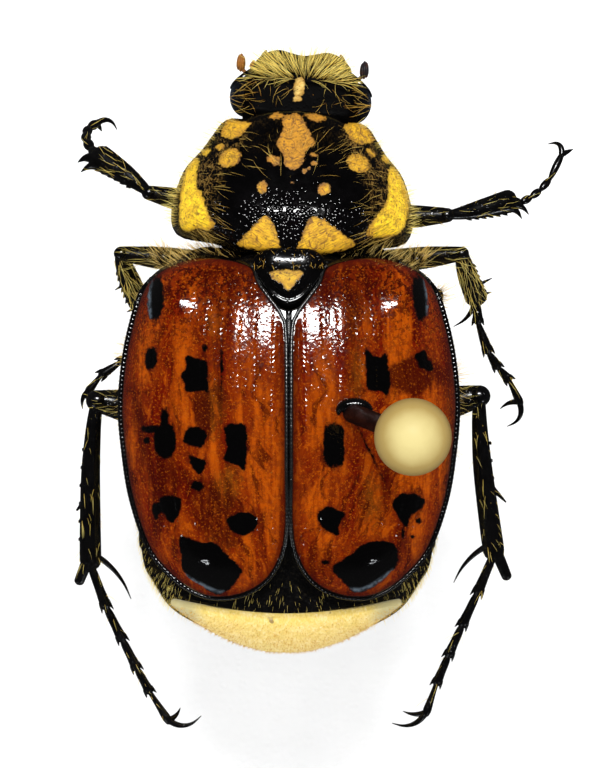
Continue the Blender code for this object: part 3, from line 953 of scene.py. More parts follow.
@dataclass(frozen=True)
class Finish:
    """A finish with a Principled shader. A finish of this object's own overrides dress."""

    name: str
    roughness: float = 0.4
    coat: float = 0.0
    coat_roughness: float = 0.1
    sheen: float = 0.0
    specular: float = 0.5

    def make(self) -> bpy.types.Material:
        """Makes the material on its first use.

        Returns:
            The material.
        """
        found = bpy.data.materials.get(self.name)
        if found:
            return found
        material = bpy.data.materials.new(self.name)
        material.use_nodes = True
        bench = Bench(material.node_tree)
        sockets = material.node_tree.nodes["Principled BSDF"].inputs
        sockets["Coat Weight"].default_value = self.coat
        sockets["Coat Roughness"].default_value = self.coat_roughness
        sockets["Sheen Weight"].default_value = self.sheen
        sockets["Specular IOR Level"].default_value = self.specular
        place = bench.vector("SCALE", bench.out("ShaderNodeTexCoord", port="Object"), 1 / MM)
        look = self.dress(bench, place)
        bench.feed(sockets["Base Color"], look.colour)
        bench.feed(sockets["Roughness"], look.roughness)
        if look.depth:
            bump = {"Height": look.relief, "Distance": look.depth * MM, "Strength": look.strength}
            bench.feed(sockets["Normal"], bench.out("ShaderNodeBump", bump, "Normal"))
        return material

    def dress(self, bench: Bench, place: Wire) -> Look:
        """Builds the finish.

        Args:
            bench: The material's tree.
            place: The place on the object, in millimetres.

        Returns:
            What it gives the shader.
        """
        raise NotImplementedError

    def varied(self, bench: Bench, cloud: Wire, least: float = 0.8, most: float = 1.2) -> Wire:
        """The finish's roughness, from least to most times its own with a cloudy value."""
        return bench.between(cloud, 0.3, 0.7, self.roughness * least, self.roughness * most)


@dataclass(frozen=True)
class CaseFinish(Finish):
    """Glossy chestnut wing cases, streaked and mottled, with black blots that carry painted reflections, and
    rows of fine pits.
    """

    dark: Colour = (0.034, 0.0014, 0.0003)
    red: Colour = (0.115, 0.0055, 0.0005)
    chestnut: Colour = (0.165, 0.018, 0.0007)
    orange: Colour = (0.340, 0.055, 0.0012)
    bright: Colour = (0.42, 0.075, 0.0015)
    glow: Colour = (0.40, 0.085, 0.002)
    lip: Colour = (0.18, 0.02, 0.006)
    # Painted reflection: the bluish grey laid over parts of the blots in place of glints.
    bloom: Colour = (0.30, 0.38, 0.46)
    ochre: Colour = (0.150, 0.038, 0.002)
    black: Colour = (0.0007, 0.0006, 0.0007)

    def dress(self, bench: Bench, place: Wire) -> Look:
        """Builds the finish.

        Args:
            bench: The material's tree.
            place: The place on the object, in millimetres.

        Returns:
            The look.
        """
        broad = STREAKS.on(bench, place, Across=1.5, Along=0.26, Fine=6.5)
        threads = STREAKS.on(bench, place, Across=9.0, Along=0.7, Fine=17.0)
        mottle = broad["Mottle"]
        height = bench.split(place, 1)
        folded = bench.vector("ABSOLUTE", place)
        wave = bench.out("ShaderNodeTexNoise", {"Vector": place, "Scale": 0.9}, "Color")
        bent = bench.vector("ADD", bench.turned(folded, -0.3), bench.vector("SCALE", wave, 0.9))
        bands = STREAKS.on(bench, bent, Across=3.4, Along=0.9, Fine=9.0)["Streak"]
        warm = bench.value_of("warm") + (broad["Streak"] - 0.5) * 2.4 + (threads["Streak"] - 0.5) * 1.6
        cool = warm * -1.0
        olive = bench.value_of("olive") + (mottle - 0.5) * 1.8
        edge_away, away = bench.value_of("edge"), bench.value_of("blot")
        halo = RAGGED.on(bench, place, Away=away, Grain=4.0, Raggedness=0.25, Softness=0.12)["Mask"]
        blot = RAGGED.on(bench, place, Away=away, Grain=7.0, Raggedness=0.13, Softness=0.024)["Mask"]
        edge = RAGGED.on(bench, place, Away=edge_away, Grain=6.0, Raggedness=0.03, Softness=0.02)["Mask"]
        # Painted reflection: bluish-grey crescents on the blots, broken up by the mottle.
        bloom = bench.between(bench.value_of("bloom"), -0.06, 0.05, 0.36, 0.0)
        worn = bloom * bench.between(mottle, 0.44, 0.56, 0.3) * blot
        glow = bench.between(threads["Mottle"], 0.55, 0.61) * bench.between(cool, 0.0, 1.2, 0.6, 0.35)
        streaks = (0.40, self.red), (0.47, self.chestnut), (0.54, self.chestnut), (0.60, self.orange)
        colour = bench.layered(
            bench.ramp(broad["Streak"], *streaks),
            (bench.between(warm, 0.1, 1.1), self.orange),
            (bench.between(olive, 0.2, 1.1), self.ochre),
            (bench.between(threads["Streak"], 0.44, 0.62, 0.0, 0.5), self.red),
            (bench.between(mottle, 0.48, 0.54) * bench.between(height, 0.4, 2.8, 0.3, 0.97), self.dark),
            (bench.between(bands, 0.51, 0.64, 0.0, 0.8), self.dark),
            (bench.between(bands, 0.46, 0.36, 0.0, bench.between(height, 0.0, 2.5, 0.45, 0.2)), self.bright),
            (bench.between(cool, 0.1, 1.1, 0.0, 0.9), self.dark),
            (glow, self.glow),
            (bench.between(bench.value_of("front"), 0.0, 0.32, 0.7, 0.0), self.lip),
            (bench.between(edge_away, 0.0, 0.22, 0.75, 0.0), self.dark),
            (halo * 0.6, self.dark),
            (blot, self.black),
            (edge, self.black),
            # the painted reflection, laid over the blots last
            (worn, self.bloom),
        )
        pit = PITS.on(bench, place, Pits_per_mm=8.0, Pit_size=0.28)["Pit"]
        relief = pit * bench.between(1.0 - blot, 0.0, 1.0, 0.3, 1.0) * -0.16
        relief = relief + bench.value_of("row") * -0.7 + bench.noise(place, 9.0, 1.0, 0.5) * 0.24
        return Look(colour, bench.between(mottle, 0.3, 0.7, 0.05, 0.11), relief, 0.02)


@dataclass(frozen=True)
class CuticleFinish(Finish):
    """Black pitted cuticle, with golden patches of short nap where the piece has a value named patch."""

    black: Colour = (0.0007, 0.0006, 0.0007)
    patch: Colour | None = None
    pits: float = 9.0
    pit_size: float = 0.45
    depth: float = 0.02
    dusty: float = 0.0
    bowls: float = 0.0
    felted: bool = False

    def dress(self, bench: Bench, place: Wire) -> Look:
        """Builds the finish.

        Args:
            bench: The material's tree.
            place: The place on the object, in millimetres.

        Returns:
            The look.
        """
        pits = PITS.on(bench, place, Pits_per_mm=self.pits, Pit_size=self.pit_size)
        cloud = bench.noise(place, 3.0, 5.0, 0.6)
        colour = bench.ramp(cloud, (0.35, self.black), (0.75, toned(self.black, 2.4)))
        if self.dusty:
            dust = bench.between(bench.noise(place, 14.0, 4.0, 0.7), 0.52, 0.75, 0.0, self.dusty)
            colour = bench.mix(dust, colour, (0.30, 0.24, 0.13))
        if self.felted:
            felt = NAP.on(bench, place, Fibres_per_mm=26.0, Drawn_out=0.22)["Fibre"]
            lying = bench.between(felt, 0.52, 0.64) * bench.between(bench.value_of("growth"), 0.2, 0.9)
            colour = bench.mix(lying, colour, (0.15, 0.085, 0.02))
        rough = self.varied(bench, cloud)
        pitted = 1.0 - pits["Pit"]
        if self.bowls:
            here = bench.maths("LESS_THAN", pits["Own"], bench.value_of("disc"))
            pitted = pits["Bowls"] * here * self.bowls
        relief = pitted + bench.noise(place, 4.0, 1.0, 0.5) * 0.6
        if self.patch:
            combed = bench.turned(bench.vector("ABSOLUTE", place), 1.1)
            nap = NAP.on(bench, combed, Fibres_per_mm=24.0, Drawn_out=0.2)
            away = bench.value_of("patch")
            mask = RAGGED.on(bench, place, Away=away, Grain=9.0, Raggedness=0.17, Softness=0.02)["Mask"]
            colour = bench.mix(mask, colour, self.gold(bench, place, nap["Fibre"], away))
            rough = bench.maths("MINIMUM", rough + mask * 0.5, 1.0)
            given = {0: mask, 2: relief, 3: nap["Height"] * 0.6}
            relief = bench.out("ShaderNodeMix", given, data_type="FLOAT")
        return Look(colour, rough, relief, self.depth)

    def gold(self, bench: Bench, place: Wire, fibre: Wire, away: Wire) -> Wire:
        """The colour of the patches.

        Args:
            bench: The material's tree.
            place: The place on the object, in millimetres.
            fibre: The value across the nap's fibres.
            away: How far the place is from the patches' outline.

        Returns:
            The colour.
        """
        rich, brown = bench.value_of("rich"), (0.16, 0.06, 0.008)
        shades = [(at, toned(self.patch, gain)) for at, gain in ((0.34, 0.42), (0.46, 0.92), (0.60, 1.3))]
        gold = bench.mix(rich, bench.ramp(fibre, *shades), (0.60, 0.41, 0.5), "MULTIPLY")
        crack = (bench.noise(place, 2.1, 2.0, 0.5, 0.9) - 0.5).size()
        return bench.layered(
            gold,
            (bench.between(away, -0.10, 0.0, 0.0, 0.45), brown),
            (bench.between(bench.noise(place, 5.0, 4.0, 0.65), 0.46, 0.60, 0.0, 0.4), (0.40, 0.17, 0.01)),
            (bench.between(crack, 0.0, 0.022, 0.85, 0.0) * bench.between(rich, 0.0, 0.4, 0.3, 1.0), brown),
            (bench.between(bench.noise(place, 11.0, 2.0, 0.5), 0.62, 0.70, 0.0, 0.8), (0.12, 0.05, 0.01)),
        )


@dataclass(frozen=True)
class NapFinish(Finish):
    """A plate covered in short matted pale hair, with a few rubbed and pale specks."""

    colour: Colour = (0.82, 0.60, 0.13)
    worn: Colour = (0.42, 0.38, 0.20)

    def dress(self, bench: Bench, place: Wire) -> Look:
        """Builds the finish.

        Args:
            bench: The material's tree.
            place: The place on the object, in millimetres.

        Returns:
            The look.
        """
        nap = NAP.on(bench, place, Fibres_per_mm=18.0, Drawn_out=0.5)
        stops = (0.2, toned(self.colour, 0.72)), (0.45, self.colour), (0.7, (0.90, 0.74, 0.34))
        colour = bench.layered(
            bench.ramp(nap["Fibre"], *stops),
            (bench.between(bench.noise(place, 0.9, 2.0, 0.5), 0.35, 0.65, 0.0, 0.16), (0.86, 0.52, 0.10)),
            (bench.between(bench.noise(place, 6.0, 3.0, 0.6), 0.70, 0.76, 0.0, 0.8), (0.88, 0.84, 0.72)),
            (bench.value_of("corner") * 0.8, self.worn),
            (bench.between(bench.noise(place, 3.1, 1.0, 0.5), 0.74, 0.78, 0.0, 0.8), (0.22, 0.13, 0.05)),
        )
        return Look(colour, bench.between(nap["Height"], 0.3, 0.7, 0.7, 0.95), nap["Height"], 0.03)


@dataclass(frozen=True)
class EyeFinish(Finish):
    """A polished black eye of many small facets, with a bluish reflection painted on its outer side."""

    colour: Colour = (0.0012, 0.0014, 0.002)
    light: Colour = (0.003, 0.0035, 0.005)
    # painted reflection on the eye's outer side
    outer: Colour = (0.028, 0.042, 0.068)

    def dress(self, bench: Bench, place: Wire) -> Look:
        """Builds the finish.

        Args:
            bench: The material's tree.
            place: The place on the object, in millimetres.

        Returns:
            The look.
        """
        facets = PITS.on(bench, place, Pits_per_mm=26.0, Pit_size=0.9, Scatter=0.35)
        tone = bench.noise(place, 1.6, 3.0, 0.5)
        # Painted reflection: the eye turns bluish towards its outer side.
        outward = bench.between((bench.split(place, 0) - 0.3).size(), 1.64, 1.84)
        colour = bench.mix(outward, bench.ramp(tone, (0.3, self.colour), (0.7, self.light)), self.outer)
        return Look(colour, self.varied(bench, tone, 0.8, 1.6), facets["Pit"], 0.001)


@dataclass(frozen=True)
class HornFinish(Finish):
    """Brown horn with darker clouds, as on the feelers and palps."""

    light: Colour = (0.36, 0.13, 0.02)
    dark: Colour = (0.02, 0.008, 0.006)
    turn: float = 0.5

    def dress(self, bench: Bench, place: Wire) -> Look:
        """Builds the finish.

        Args:
            bench: The material's tree.
            place: The place on the object, in millimetres.

        Returns:
            The look.
        """
        cloud = bench.noise(place, 5.0, 4.0, 0.6)
        colour = bench.mix(bench.between(cloud, self.turn - 0.15, self.turn + 0.15), self.light, self.dark)
        pit = PITS.on(bench, place, Pits_per_mm=24.0, Pit_size=0.4)["Pit"]
        return Look(colour, self.varied(bench, cloud, 0.8, 1.3), 1.0 - pit, 0.006)


@dataclass(frozen=True)
class HairFinish(Finish):
    """Hair that is darker at its root and has its own shade from one hair to the next."""

    root: Colour = (0.16, 0.07, 0.012)
    tip: Colour = (0.86, 0.50, 0.08)
    pale: Colour = (0.97, 0.76, 0.28)

    def dress(self, bench: Bench, place: Wire) -> Look:
        """Builds the finish.

        Args:
            bench: The material's tree.
            place: The place on the object, in millimetres.

        Returns:
            The look.
        """
        shade = bench.value_of("hair_shade")
        tip = bench.mix(shade * 0.8 + bench.noise(place, 8.0, 2.0, 0.5) * 0.25, self.tip, self.pale)
        colour = bench.mix(bench.between(bench.value_of("hair_along"), 0.0, 0.35), self.root, tip)
        return Look(colour, bench.between(shade, 0.0, 1.0, self.roughness * 0.8, self.roughness * 1.2))


@dataclass(frozen=True)
class EnamelFinish(Finish):
    """Black enamel on pin wire, worn a little along its length."""

    colour: Colour = (0.003, 0.003, 0.004)
    bare: Colour = (0.02, 0.014, 0.008)

    def dress(self, bench: Bench, place: Wire) -> Look:
        """Builds the finish.

        Args:
            bench: The material's tree.
            place: The place on the object, in millimetres.

        Returns:
            The look.
        """
        streaks = STREAKS.on(bench, place, Across=6.0, Along=6.0, Fine=10.0)
        colour = bench.mix(bench.between(streaks["Mottle"], 0.70, 0.76), self.colour, self.bare)
        return Look(colour, bench.between(streaks["Streak"], 0.3, 0.7, 0.45, 0.6), streaks["Mottle"], 0.004)


@dataclass(frozen=True)
class NylonFinish(Finish):
    """A cream moulded nylon ball, a little cloudy, with painted shade that makes it deeper in tone low down.
    """

    colour: Colour = (0.62, 0.52, 0.22)
    # Painted shade: the two tones below are for the lower, shaded part of the ball.
    middle: Colour = (0.36, 0.25, 0.07)
    deep: Colour = (0.22, 0.13, 0.025)

    def dress(self, bench: Bench, place: Wire) -> Look:
        """Builds the finish.

        Args:
            bench: The material's tree.
            place: The place on the object, in millimetres.

        Returns:
            The look.
        """
        # Painted shade: the colour darkens from the top of the ball towards its bottom, by height.
        rise = (bench.split(place, 2) - (BODY_LIFT + PINNED.ball[2])) * (1 / PINNED.ball_radius)
        cloud = bench.noise(place, 2.2, 3.0, 0.5)
        stops = (0.0, self.deep), (0.62, self.middle), (0.97, self.colour)
        colour = bench.ramp(rise + (cloud - 0.5) * 0.15, *stops)
        return Look(colour, bench.between(cloud, 0.3, 0.7, 0.45, 0.6), cloud, 0.01)


@dataclass(frozen=True)
class FoamFinish(Finish):
    """Fine white closed-cell foam, as of a pinning block."""

    colour: Colour = (0.995, 0.995, 0.995)

    def dress(self, bench: Bench, place: Wire) -> Look:
        """Builds the finish.

        Args:
            bench: The material's tree.
            place: The place on the object, in millimetres.

        Returns:
            The look.
        """
        cells = PITS.on(bench, place, Pits_per_mm=5.0, Pit_size=0.8)
        tone = bench.noise(place, 0.8, 3.0, 0.5)
        colour = bench.ramp(tone, (0.3, toned(self.colour, 0.97)), (0.7, self.colour))
        return Look(colour, bench.between(tone, 0.3, 0.7, 0.75, 0.9), 1.0 - cells["Pit"], 0.02, 0.5)


@dataclass(frozen=True)
class FloorFinish(Finish):
    """The floor's pale matt paint."""

    colour: Colour = (0.93, 0.93, 0.93)

    def dress(self, bench: Bench, place: Wire) -> Look:
        """Builds the finish.

        Args:
            bench: The material's tree.
            place: The place on the object, in millimetres.

        Returns:
            The look.
        """
        tone = bench.noise(place, 0.02, 2.0, 0.5)
        return Look(bench.ramp(tone, (0.3, toned(self.colour, 0.98)), (0.7, self.colour)), self.roughness)


CASE = CaseFinish("wing case chestnut")
RIM = CuticleFinish("rim black", 0.14, coat=0.5, coat_roughness=0.05, pits=12.0, pit_size=0.3, depth=0.004)
SEAM = CuticleFinish(
    "seam black", 0.26, coat=1.0, coat_roughness=0.3, specular=1.0, pits=14.0, pit_size=0.3, depth=0.006
)
PRONOTUM = CuticleFinish(
    "pronotum black and gold", 0.1, specular=0.4, patch=(0.80, 0.51, 0.006), pits=10.0, pit_size=0.6,
    depth=0.0145, bowls=2.4, felted=True,
)
SHIELD = CuticleFinish(
    "scutellum black and gold", 0.12, patch=(0.58, 0.33, 0.012), pits=11.0, pit_size=0.4, depth=0.008
)
HEAD_SKIN = CuticleFinish(
    "head black and gold", 0.5, specular=0.03, patch=(0.66, 0.46, 0.14), pits=12.0, pit_size=0.6, depth=0.005
)
PLATES = CuticleFinish(
    "body plates black", 0.24, specular=0.3, pits=8.0, pit_size=0.5, depth=0.012, dusty=0.06
)
BACK_PLATE = CuticleFinish(
    "last back plate black", 0.2, pits=8.0, pit_size=0.5, depth=0.014, dusty=0.05, bowls=1.7
)
LEG_SKIN = CuticleFinish("leg black", 0.18, coat=0.2, pits=11.0, pit_size=0.4, depth=0.007)
PYGIDIUM = NapFinish("pygidium cream nap", sheen=0.2)
EYE = EyeFinish("eye black", 0.1, specular=0.4)
FEELER_LIGHT = HornFinish(
    "feeler orange", 0.35, light=(0.30, 0.11, 0.012), dark=(0.05, 0.02, 0.01), turn=0.62
)
FEELER_DARK = HornFinish(
    "feeler dark", 0.3, light=(0.10, 0.03, 0.008), dark=(0.012, 0.010, 0.014), turn=0.46
)
GOLD_HAIR = HairFinish("golden hair", 0.45, specular=0.1)
NAP_HAIR = HairFinish(
    "golden nap hair", 0.6, specular=0.1, root=(0.50, 0.25, 0.03), tip=(0.74, 0.42, 0.06),
    pale=(0.85, 0.56, 0.13),
)
PALE_HAIR = HairFinish(
    "pale golden hair", 0.5, specular=0.1, root=(0.62, 0.40, 0.07), tip=(0.99, 0.73, 0.13),
    pale=(1.0, 0.86, 0.28),
)
BROWN_HAIR = HairFinish(
    "brown hair", 0.45, specular=0.1, root=(0.05, 0.025, 0.006), tip=(0.58, 0.31, 0.045),
    pale=(0.97, 0.68, 0.16),
)
AMBER_HAIR = HairFinish(
    "amber hair", 0.4, specular=0.1, root=(0.28, 0.11, 0.01), tip=(0.80, 0.42, 0.05),
    pale=(0.95, 0.66, 0.14),
)
ENAMEL = EnamelFinish("pin enamel black", specular=0.05)
NYLON = NylonFinish("pin head cream", specular=0.25)
FOAM = FoamFinish("pinning foam white")
FLOOR = FloorFinish("floor paint", 0.9)


# Hair


@dataclass(frozen=True)
class HairKind:
    """One kind of hair: its finish, longest and shortest length, width, number on a square millimetre,
    how far it stands out from the skin, how much it strays, its bend and the number of its rings.
    Lengths are in millimetres."""

    finish: Finish
    longest: float
    shortest: float
    width: float
    density: float
    lean: float
    stray: float
    bend: float
    steps: int = 4


LENGTH_SEED = 7.0
SHADE_SEED = 13.0
SEED_STEP = 17


def wire_hair(bench: Bench, read: Read) -> tuple[Wire, ...]:
    """Wires strands that grow on a skin, by two of its values: how thick the growth is, and its lie.

    Args:
        bench: The tree.
        read: What comes in.

    Returns:
        The hair.
    """
    value, draw, aim = (
        "GeometryNodeInputNamedAttribute", "FunctionNodeRandomValue", "FunctionNodeAlignRotationToVector"
    )
    seed, lean = read["Seed"], read["Lean"]
    growth = bench.out(value, {"Name": read["Growth"]}, data_type="FLOAT")
    comb = bench.out(value, {"Name": read["Comb"]}, data_type="FLOAT_VECTOR")
    given = {"Mesh": read["Geometry"], "Density": read["Density"] * growth, "Seed": seed}
    points = bench.ports(bench.node("GeometryNodeDistributePointsOnFaces", given, distribute_method="RANDOM"))
    given = {0: (-1.0, -1.0, -1.0), 1: (1.0, 1.0, 1.0), "Seed": seed}
    astray = bench.out(draw, given, data_type="FLOAT_VECTOR")
    given = {2: read["Shortest"], 3: read["Longest"], "Seed": seed + LENGTH_SEED}
    length = bench.out(draw, given, 1, data_type="FLOAT")
    shade = bench.out(draw, {2: 0.0, 3: 1.0, "Seed": seed + SHADE_SEED}, 1, data_type="FLOAT")
    upright = bench.vector("SCALE", points["Normal"], lean)
    lying = bench.vector("SCALE", comb, 1.0 - lean)
    straight, strayed = bench.vector("ADD", upright, lying), bench.vector("SCALE", astray, read["Stray"])
    way = bench.vector("ADD", straight, strayed)
    standing = bench.out(aim, {"Vector": way}, axis="Z")
    facing = bench.out(aim, {"Rotation": standing, "Vector": comb}, axis="X", pivot_axis="Z")
    given = {"Object": read["Strand"]}
    strand = bench.out("GeometryNodeObjectInfo", given, "Geometry", transform_space="ORIGINAL")
    given = {"Points": points["Points"], "Instance": strand, "Rotation": facing, "Scale": length}
    hair = bench.out("GeometryNodeInstanceOnPoints", given)
    given = {"Geometry": hair, "Name": "hair_shade", "Value": shade}
    stored = bench.out("GeometryNodeStoreNamedAttribute", given, data_type="FLOAT", domain="INSTANCE")
    return (bench.dressed(stored, read["Finish"]),)


GROWING_HAIR = Recipe(
    "growing hair",
    {
        "Geometry": "Geometry", "Strand": "Object", "Density": 0.0, "Lean": 0.0, "Stray": 0.0,
        "Shortest": 0.0, "Longest": 0.0, "Seed": "Int", "Finish": "Material", "Growth": "String",
        "Comb": "String",
    },
    ("Geometry",), wire_hair, "GeometryNodeTree",
)
HAIR_SIDES = 3
PATCH_OF_HAIR = 0.003
SPARE_VALUES = ("unwrap", "hair_spread", "growth", "comb", "patch")


def grown(name: str, host: Piece, recipe: Recipe, inputs: dict[str, object]) -> Piece:
    """Runs a Geometry Nodes tree on a host and keeps what it makes as a plain mesh of its own.

    Args:
        name: The new object's name.
        host: The host, which keeps its mesh and has no modifier afterwards.
        recipe: The tree's recipe.
        inputs: Values for the tree's inputs, by name.

    Returns:
        The new object.
    """
    modifier = host.modifiers.new(name, "NODES")
    modifier.node_group = recipe.tree()
    sockets = [s for s in modifier.node_group.interface.items_tree if s.in_out == "INPUT"]
    for socket in sockets:
        if socket.name in inputs:
            modifier[socket.identifier] = inputs[socket.name]
    host.update_tag()
    bpy.context.view_layer.update()
    graph = bpy.context.evaluated_depsgraph_get()
    mesh = bpy.data.meshes.new_from_object(host.evaluated_get(graph), depsgraph=graph)
    host.modifiers.remove(modifier)
    mesh.name = name
    return in_scene(name, mesh)


@dataclass
class Coat:
    """The hair of the whole beetle, grown piece by piece on the skins that carry it."""

    seed: int = 11

    def strand(self, kind: HairKind) -> Piece:
        """Makes one tapered hair a metre long, bent towards X, with its place along it and round it.

        Args:
            kind: The kind of hair.

        Returns:
            The hair.
        """
        points, spread = [], []
        for k in range(kind.steps):
            t = k / kind.steps
            for j in range(HAIR_SIDES):
                a = 2 * math.pi * j / HAIR_SIDES
                r = kind.width / kind.longest * 0.5 * (1 - t) ** 0.6 * (1.0 if k else 1.15)
                points.append((kind.bend * t * t + r * math.cos(a), r * math.sin(a), t))
                spread.append((j / HAIR_SIDES, t, 0.0))
        points.append((kind.bend, 0.0, 1.0))
        spread.append((0.5, 1.0, 0.0))
        top = (kind.steps - 1) * HAIR_SIDES
        faces = [tuple(range(HAIR_SIDES))[::-1], *ring_faces(kind.steps, HAIR_SIDES)]
        faces += [(top + j, top + (j + 1) % HAIR_SIDES, len(points) - 1) for j in range(HAIR_SIDES)]
        mesh = bpy.data.meshes.new("strand")
        mesh.from_pydata(points, [], faces)
        store(mesh, "hair_along", np.array(spread)[:, 1])
        store(mesh, "hair_spread", np.array(spread))
        mesh.shade_smooth()
        return in_scene("strand", mesh)

    def grow(self, name: str, host: Piece, kind: HairKind, coat: str = "") -> None:
        """Grows one kind of hair on a skin.

        Args:
            name: The hair piece's name.
            host: A skin with the values growth, comb and unwrap at its points.
            kind: The kind of hair.
            coat: The ending of the names of the growth and comb to go by.
        """
        self.seed += SEED_STEP
        strand = self.strand(kind)
        inputs = {
            "Strand": strand, "Density": kind.density / MM**2, "Lean": kind.lean, "Stray": kind.stray,
            "Shortest": kind.shortest * MM, "Longest": kind.longest * MM, "Seed": self.seed,
            "Finish": kind.finish.make(), "Growth": f"growth{coat}", "Comb": f"comb{coat}",
        }
        made = grown(name, host, GROWING_HAIR, inputs)
        bpy.data.objects.remove(strand, do_unlink=True)
        self.unwrap(made.data)
        made.data.shade_smooth()
        mount(made, Slot.HAIR)
        log.info("%s: %d hairs", name, len(made.data.vertices) // (kind.steps * HAIR_SIDES + 1))

    @staticmethod
    def unwrap(mesh: bpy.types.Mesh) -> None:
        """Lays each hair as a small patch at its root's place on the unwrap of its skin.

        Args:
            mesh: The hair.
        """
        root, spread = np.zeros((2, len(mesh.vertices) * 3), np.float32)
        mesh.attributes["unwrap"].data.foreach_get("vector", root)
        mesh.attributes["hair_spread"].data.foreach_get("vector", spread)
        place = root.reshape(-1, 3)[:, :2] + (spread.reshape(-1, 3)[:, :2] - 0.5) * PATCH_OF_HAIR
        corners = np.zeros(len(mesh.loops), np.int32)
        mesh.loops.foreach_get("vertex_index", corners)
        layer = mesh.uv_layers.new(name="OFBake")
        layer.data.foreach_set("uv", np.clip(place[corners], 0.001, 0.999).astype(np.float32).ravel())
        for name in [a.name for a in mesh.attributes if a.name.startswith(SPARE_VALUES)]:
            mesh.attributes.remove(mesh.attributes[name])


# Beaded rims


def wire_beads(bench: Bench, read: Read) -> tuple[Wire, ...]:
    """Wires a line that becomes a cord with small beads along it.

    Args:
        bench: The tree.
        read: What comes in.

    Returns:
        The cord.
    """
    line = bench.out("GeometryNodeMeshToCurve", {"Mesh": read["Geometry"]})
    even = bench.out("GeometryNodeResampleCurve", {"Curve": line, "Length": read["Step"]}, mode="LENGTH")
    far = bench.out("GeometryNodeSplineParameter", port="Length")
    phase = bench.maths("DIVIDE", far, read["Bead length"]) * (2 * math.pi)
    thick = bench.out("GeometryNodeInputNamedAttribute", {"Name": "thick"}, data_type="FLOAT")
    size = thick * (bench.maths("SINE", phase) * read["Bead depth"] + 1.0)
    sized = bench.out("GeometryNodeSetCurveRadius", {"Curve": even, "Radius": size})
    given = {"Resolution": read["Sides"], "Radius": 1.0}
    ring = bench.out("GeometryNodeCurvePrimitiveCircle", given, mode="RADIUS")
    cord = bench.node("GeometryNodeCurveToMesh", {"Curve": sized, "Profile Curve": ring, "Fill Caps": True})
    if "Scale" in cord.inputs:
        bench.feed(cord.inputs["Scale"], size)
    smooth = {"Geometry": bench.ports(cord)["Mesh"], "Shade Smooth": True}
    return (bench.dressed(bench.out("GeometryNodeSetShadeSmooth", smooth), read["Finish"]),)


BEADED_CORD = Recipe(
    "beaded cord",
    {
        "Geometry": "Geometry", "Step": 0.0, "Bead length": 0.0, "Bead depth": 0.0, "Sides": "Int",
        "Finish": "Material",
    },
    ("Geometry",), wire_beads, "GeometryNodeTree",
)


@dataclass(frozen=True)
class Cord:
    """A raised cord with small beads: its finish and slot, the length of a bead and its swelling as a
    share of the radius, the distance between its rings and the number of its sides."""

    finish: Finish
    slot: Slot
    bead: float
    depth: float
    step: float = 0.024
    sides: int = 12

    def lay(self, name: str, line: Array, radii: Array, at: Matrix | None = None) -> None:
        """Makes a cord along a line.

        Args:
            name: The piece's name.
            line: The line's points, in millimetres.
            radii: Its radius at each point.
            at: A place and turn in the body frame.
        """
        mesh = bpy.data.meshes.new("line")
        mesh.from_pydata(in_row_frame(line, at).tolist(), [(i, i + 1) for i in range(len(line) - 1)], [])
        store(mesh, "thick", radii * MM)
        host = in_scene("line", mesh)
        inputs = {
            "Step": self.step * MM, "Bead length": self.bead * MM, "Bead depth": self.depth,
            "Sides": self.sides, "Finish": self.finish.make(),
        }
        made = grown(name, host, BEADED_CORD, inputs)
        bpy.data.objects.remove(host, do_unlink=True)
        face_outwards(made.data, True)
        mount(made, self.slot)


# Wing cases

CASE_BLOTS = {
    Side.LEFT: (
        Blot((151, 358.5), (12, 22), 0, 3.0), Blot((205, 348), (6, 7)),
        Blot((221.5, 366), (3, 46), 0, 3.0),
        Patch((
            (186, 356), (197, 358.5), (207, 363), (208, 380), (209.5, 394), (204, 391), (187, 392),
            (184, 384), (181, 375), (186, 367),
        )),
        Blot((165, 441), (22, 36), 0, 2.6), Blot((164.5, 419), (8, 22), 0, 3.0),
        Blot((151, 429), (18, 8), 0, 3.0), Blot((146.7, 440.5), (7, 7)),
        Blot((195, 437), (23, 20), 12, 3.0),
        Patch((
            (187, 453), (194, 457), (204, 459), (205.5, 465), (203, 471), (199, 474.5), (195, 471),
            (191, 465),
        )),
        Blot((197.5, 486), (13, 10), 15),
        Patch((
            (226, 425), (245, 425), (247, 440), (246.5, 452), (245, 470), (239, 466), (232, 464),
            (223.5, 459), (227, 448), (225, 436),
        )),
        Patch((
            (161, 497), (172, 495.5), (181, 499), (181, 508), (178, 516), (173.5, 523), (168, 521),
            (164, 514), (160, 513), (158, 519), (155, 519), (152, 510), (153, 504), (159, 502),
        )),
        Patch((
            (240, 512), (250, 513), (257.5, 519), (256, 528), (250, 533), (243, 535.5), (234, 533),
            (227.5, 525), (228, 518),
        )),
        Blot((155.5, 299), (16, 46), 4, 2.2),
        Patch((
            (180, 536), (200, 542), (215, 543), (228, 556), (242, 569), (238, 578), (232, 587),
            (218, 594.5), (200, 585), (184, 573), (181, 555),
        )),
    ),
    Side.RIGHT: (
        Patch((
            (365, 349), (372, 354), (379.5, 357), (387, 353), (388.5, 367), (390.5, 381), (388, 396),
            (381, 391), (367, 389), (366, 368),
        )),
        Patch(((415, 355), (425, 350), (428, 358), (432, 364), (433, 371), (420, 368), (417, 361))),
        Blot((334, 445.5), (21, 44), 0, 4.0),
        Patch((
            (317, 515), (322, 509), (329, 506.5), (338, 510), (346, 514), (341, 521), (339, 528),
            (338.5, 535), (331, 533), (322, 527), (318, 520),
        )),
        Patch((
            (401, 494), (417, 494.5), (425, 501), (421, 509), (412, 515), (407, 527), (401, 522),
            (397, 514), (392, 504),
        )),
        Blot((418.5, 521), (6, 6)), Blot((412.6, 536.5), (4, 4)), Blot((326, 562), (8, 5)),
        Blot((420, 298), (15, 46), -6, 2.2), Blot((366, 444), (2.5, 54), -26, 2.2),
        Blot((403, 535), (3, 10)),
        Patch((
            (375, 541), (393, 543), (398, 552), (397, 565), (387, 576), (372, 588), (357, 592.5),
            (344, 583), (332, 568), (347, 557), (362, 545),
        )),
    ),
}
